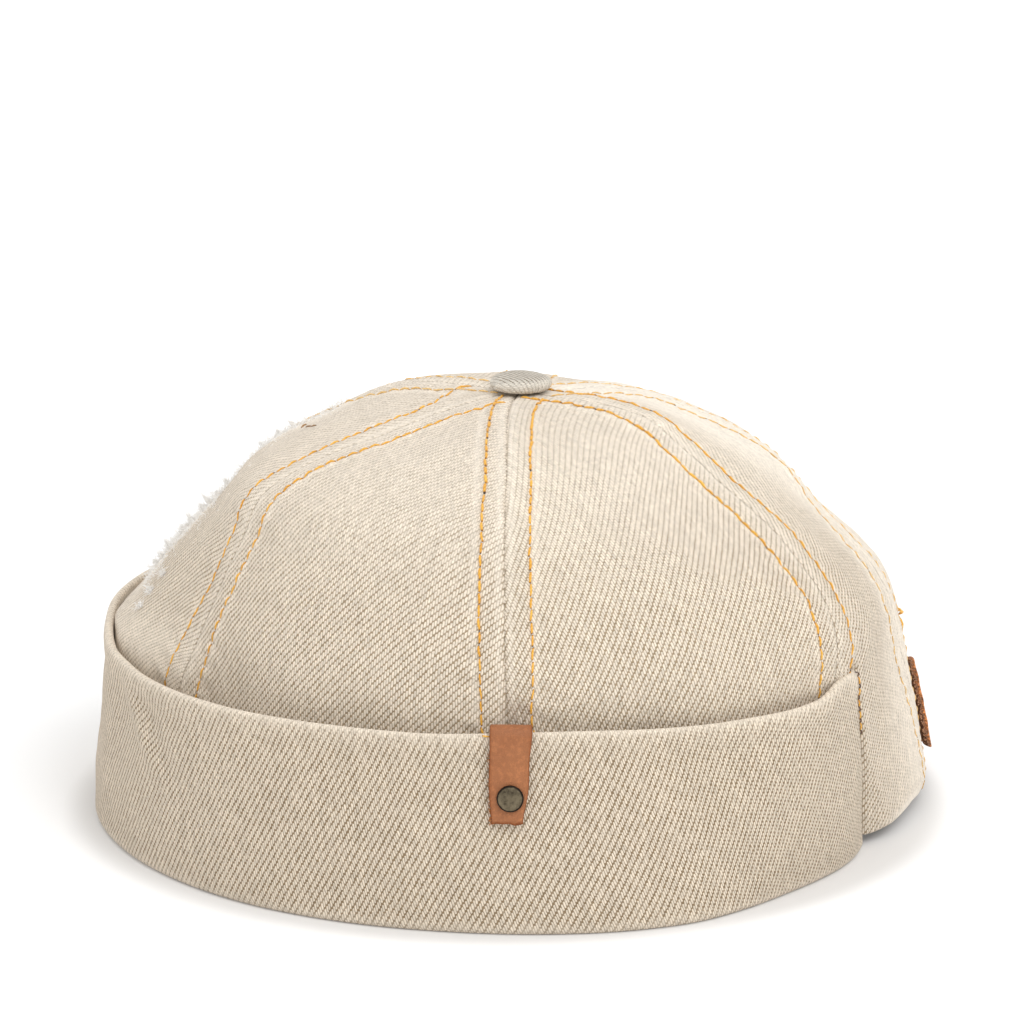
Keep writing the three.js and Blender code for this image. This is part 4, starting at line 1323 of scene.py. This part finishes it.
def cuff_tack():
    """The tack down the cuff's visible end, alternately golden and brown, and loose ends."""
    rng = np.random.default_rng(61)
    golden, brown = [], []
    z = TACK["top"]
    while z > TACK["bottom"]:
        for parts, length in ((golden, 2.0), (brown, 1.1)):
            places = [(float(cuff_end(h)) - TACK["inset"], h) for h in (z, z - length)]
            parts += short_threads(cuff_surface, 0.19, rng, (*places, 0.3))
            z -= length * 0.97
    corner = float(cuff_end(46))
    brown += short_threads(cuff_surface, 0.16, rng,
                           ((corner - 1.6, 47.0), (corner - 0.9, 46.6), 0.4),
                           ((corner - 0.7, 46.5), (corner - 0.3, 45.6), 0.4))
    tan = short_threads(crown_at_height, 0.2, rng,
                        ((-103, 92.2), (-100.6, 91.8), 0.35),
                        ((-99.4, 92.3), (-97.0, 92.9), 0.3),
                        ((-96.4, 92.9), (-94.4, 93.3), 0.3))
    golden += short_threads(crown_at_height, 0.26, rng,
                            ((91.5, 46.4), (95.5, 45.6), 1.3), ((92, 46.2), (94.8, 46.6), 1.0),
                            ((91.6, 45.6), (91.3, 42.8), 0.35))
    golden += short_threads(cuff_surface, 0.18, rng, ((-4.5, 45.5), (-3.5, 45.3), 0.4))
    threads("tack_golden_thread", golden, GOLD_THREAD)
    threads("tack_brown_thread", brown, BROWN_THREAD)
    threads("loose_tan_thread", tan, TAN_THREAD)


cuff_tack()


# ---------------------------------------------------------------- frayed patch

# Tufts on the worn line: height and reach. Curls beside the cuff: azimuth, height and size.
TUFTS = ((90.5, 2.6), (88.5, 1.4), (85.5, 1.8), (83.0, 1.2), (76.5, 2.0), (74.0, 1.2), (72.0, 3.0),
         (70.0, 1.6), (67.0, 2.6), (64.5, 1.2), (61.0, 2.2), (58.5, 1.4), (56.0, 1.2))
CURLS = ((-83.0, 51.4, 1.2), (-84.5, 54.6, 1.4), (-84.5, 58.8, 1.2))
LOOSE_HAIRS, TUFT_HAIRS, CURL_HAIRS = 5400, 48, 90


def frayed_patch():
    """Fluffed white weft ends along the worn left side of the crown, drawn out into tufts."""
    rng = np.random.default_rng(42)
    steps = np.linspace(0, 1, 5)
    parts = []

    def hair(root, direction, length, curl, width):
        bend = rng.normal(0, curl, 3)
        path = root + (direction * steps[:, None] + bend * (steps ** 2)[:, None]) * length
        points, faces = tube(path, width * (1.05 - 0.6 * steps), 3)
        parts.append((points, faces, np.zeros(len(points))))

    for _ in range(LOOSE_HAIRS):
        z = rng.uniform(53, 95)
        spread = rng.gamma(1.7, 3.0) - 5.0
        skin, normal = crown_at_height(fray_azimuth(z) + spread, z)
        clumps = 0.75 + 0.45 * math.sin(z * 2.1) * math.sin(z * 0.83 + 1)
        along = rng.normal(0, 1, 3)
        along -= normal * (along @ normal)
        direction = along / np.linalg.norm(along) + normal * rng.uniform(0.05, 0.75)
        direction /= np.linalg.norm(direction)
        length = rng.gamma(2.6, 0.27) * clumps * math.exp(-max(spread, 0) / 14) + 0.25
        hair(skin - normal * 0.12, direction, length, 0.8, 0.085)
    for z, reach in TUFTS:
        skin, normal = crown_at_height(fray_azimuth(z) + rng.uniform(-1.5, 1.5), z)
        lean = normal + rng.normal(0, 0.3, 3) + np.array([0, 0, 0.35])
        tip = skin + lean / np.linalg.norm(lean) * (reach + 0.4)
        for _ in range(TUFT_HAIRS):
            root = skin + rng.normal(0, 0.5, 3)
            to_tip = tip + rng.normal(0, 0.15, 3) - root
            length = float(np.linalg.norm(to_tip))
            hair(root, to_tip / length, length * rng.uniform(0.45, 1.0), 0.1, 0.075)
    for azimuth, z, size in CURLS:
        skin, normal = crown_at_height(azimuth, z)
        for _ in range(CURL_HAIRS):
            root = skin + normal * 0.3 + rng.normal(0, 0.35 * size, 3)
            direction = rng.normal(0, 1, 3)
            direction /= np.linalg.norm(direction)
            hair(root, direction, rng.uniform(0.3, 0.8) * size, 0.9, 0.08)
    return threads("fray_strands", parts, COTTON)


frayed_patch()


# ---------------------------------------------------------------- stage

def outward(azimuth, elevation):
    """The direction from the cap to a lamp or the camera."""
    a, e = math.radians(azimuth), math.radians(elevation)
    return Vector((math.sin(a) * math.cos(e), -math.cos(a) * math.cos(e), math.sin(e)))


def white_floor():
    """White paper with a painted contact shadow close to the cap, that glows white far away."""
    look = Look("white_floor")
    place = look.place()
    off_axis = look.distance(place, tuple(AXIS * MM))
    sideways = look.parts(place)[0] - AXIS.x * MM
    past_rim = off_axis - (0.1005 - sideways / off_axis * 0.003)  # the foot is nearer on its right
    # painted shadow: the paper darkens within a centimetre of the cap's foot
    paper = look.mixed(look.clamped(past_rim, 0.0, 0.010),
                       (0.68, 0.67, 0.66, 1), (0.93, 0.93, 0.93, 1))
    glow = look.clamped(off_axis, 0.2, 0.9, 0.09, 0.6)
    return look.surface({"Base Color": paper, "Roughness": 0.8, "Emission Strength": 1.0,
                         "Emission Color": look.tinted((1, 1, 1), glow)})


FLOOR_REACH = 6
ground = bpy.data.meshes.new("ground")
ground.from_pydata([(x * FLOOR_REACH, y * FLOOR_REACH, 0)
                    for x, y in ((-1, -1), (1, -1), (1, 1), (-1, 1))], [], [(0, 1, 2, 3)])
ground.materials.append(white_floor())
shown(bpy.data.objects.new("floor", ground))


def studio_world(seen_strength, light_strength):
    """A white surround that the camera sees at one strength and that lights the cap at another."""
    world = bpy.data.worlds.new("studio")
    bpy.context.scene.world = world
    world.use_nodes = True
    tree = world.node_tree
    tree.nodes.clear()
    seen, strength, light, output = (tree.nodes.new("ShaderNode" + kind) for kind in (
        "LightPath", "MapRange", "Background", "OutputWorld"))
    strength.inputs["To Min"].default_value = light_strength
    strength.inputs["To Max"].default_value = seen_strength
    light.inputs["Color"].default_value = (1, 1, 1, 1)
    tree.links.new(seen.outputs["Is Camera Ray"], strength.inputs["Value"])
    tree.links.new(strength.outputs[0], light.inputs["Strength"])
    tree.links.new(light.outputs[0], output.inputs["Surface"])


studio_world(1.0, 0.67)


def softbox(name, azimuth, elevation, distance, size, power):
    """A round lamp that faces the cap; lengths in metres, power in watts."""
    lamp = bpy.data.lights.new(name, "AREA")
    lamp.shape = "DISK"
    lamp.size = size
    lamp.energy = power
    obj = shown(bpy.data.objects.new(name, lamp))
    back = outward(azimuth, elevation)
    obj.location = AXIS * MM + back * distance + Vector((0, 0, 0.05))
    obj.rotation_euler = back.to_track_quat("Z", "Y").to_euler()


softbox("key", 34, 46, 1.3, 0.8, 6.8)
softbox("overhead", 10, 82, 1.4, 1.1, 3.3)
softbox("left_fill", -58, 26, 1.3, 1.0, 2.0)
softbox("left_rear", -118, 42, 1.3, 0.9, 1.4)
softbox("right_rear", 104, 38, 1.2, 0.7, 1.4)

bpy.context.scene.view_settings.view_transform = "Standard"

# The camera looks a little down on the cap, then turns up and left, so that the cap stands
# low and right of the middle.
CAMERA = {"azimuth": 0.7, "elevation": 15.88, "distance": 1.2, "height": 45.5, "lens": 174.48,
          "sensor": 36, "turn": 0.103, "raise": 1.241}


def camera_view():
    azimuth = math.radians(CAMERA["azimuth"])
    back = outward(CAMERA["azimuth"], CAMERA["elevation"])
    right = Vector((math.cos(azimuth), math.sin(azimuth), 0))
    up = back.cross(right)
    turn, lift = math.radians(CAMERA["turn"]), math.radians(CAMERA["raise"])
    side = right * math.cos(turn) - back * math.sin(turn)
    ahead = -back * math.cos(turn) - right * math.sin(turn)
    look = ahead * math.cos(lift) + up * math.sin(lift)
    top = up * math.cos(lift) - ahead * math.sin(lift)
    lens = bpy.data.cameras.new("camera")
    lens.sensor_width = CAMERA["sensor"]
    lens.lens = CAMERA["lens"]
    lens.clip_end = 50
    target = (AXIS + Vector((0, 0, CAMERA["height"]))) * MM
    rotation = Matrix((side, top, -look)).transposed().to_4x4()
    obj = shown(bpy.data.objects.new("camera", lens))
    obj.matrix_world = Matrix.Translation(target + back * CAMERA["distance"]) @ rotation
    bpy.context.scene.camera = obj


camera_view()
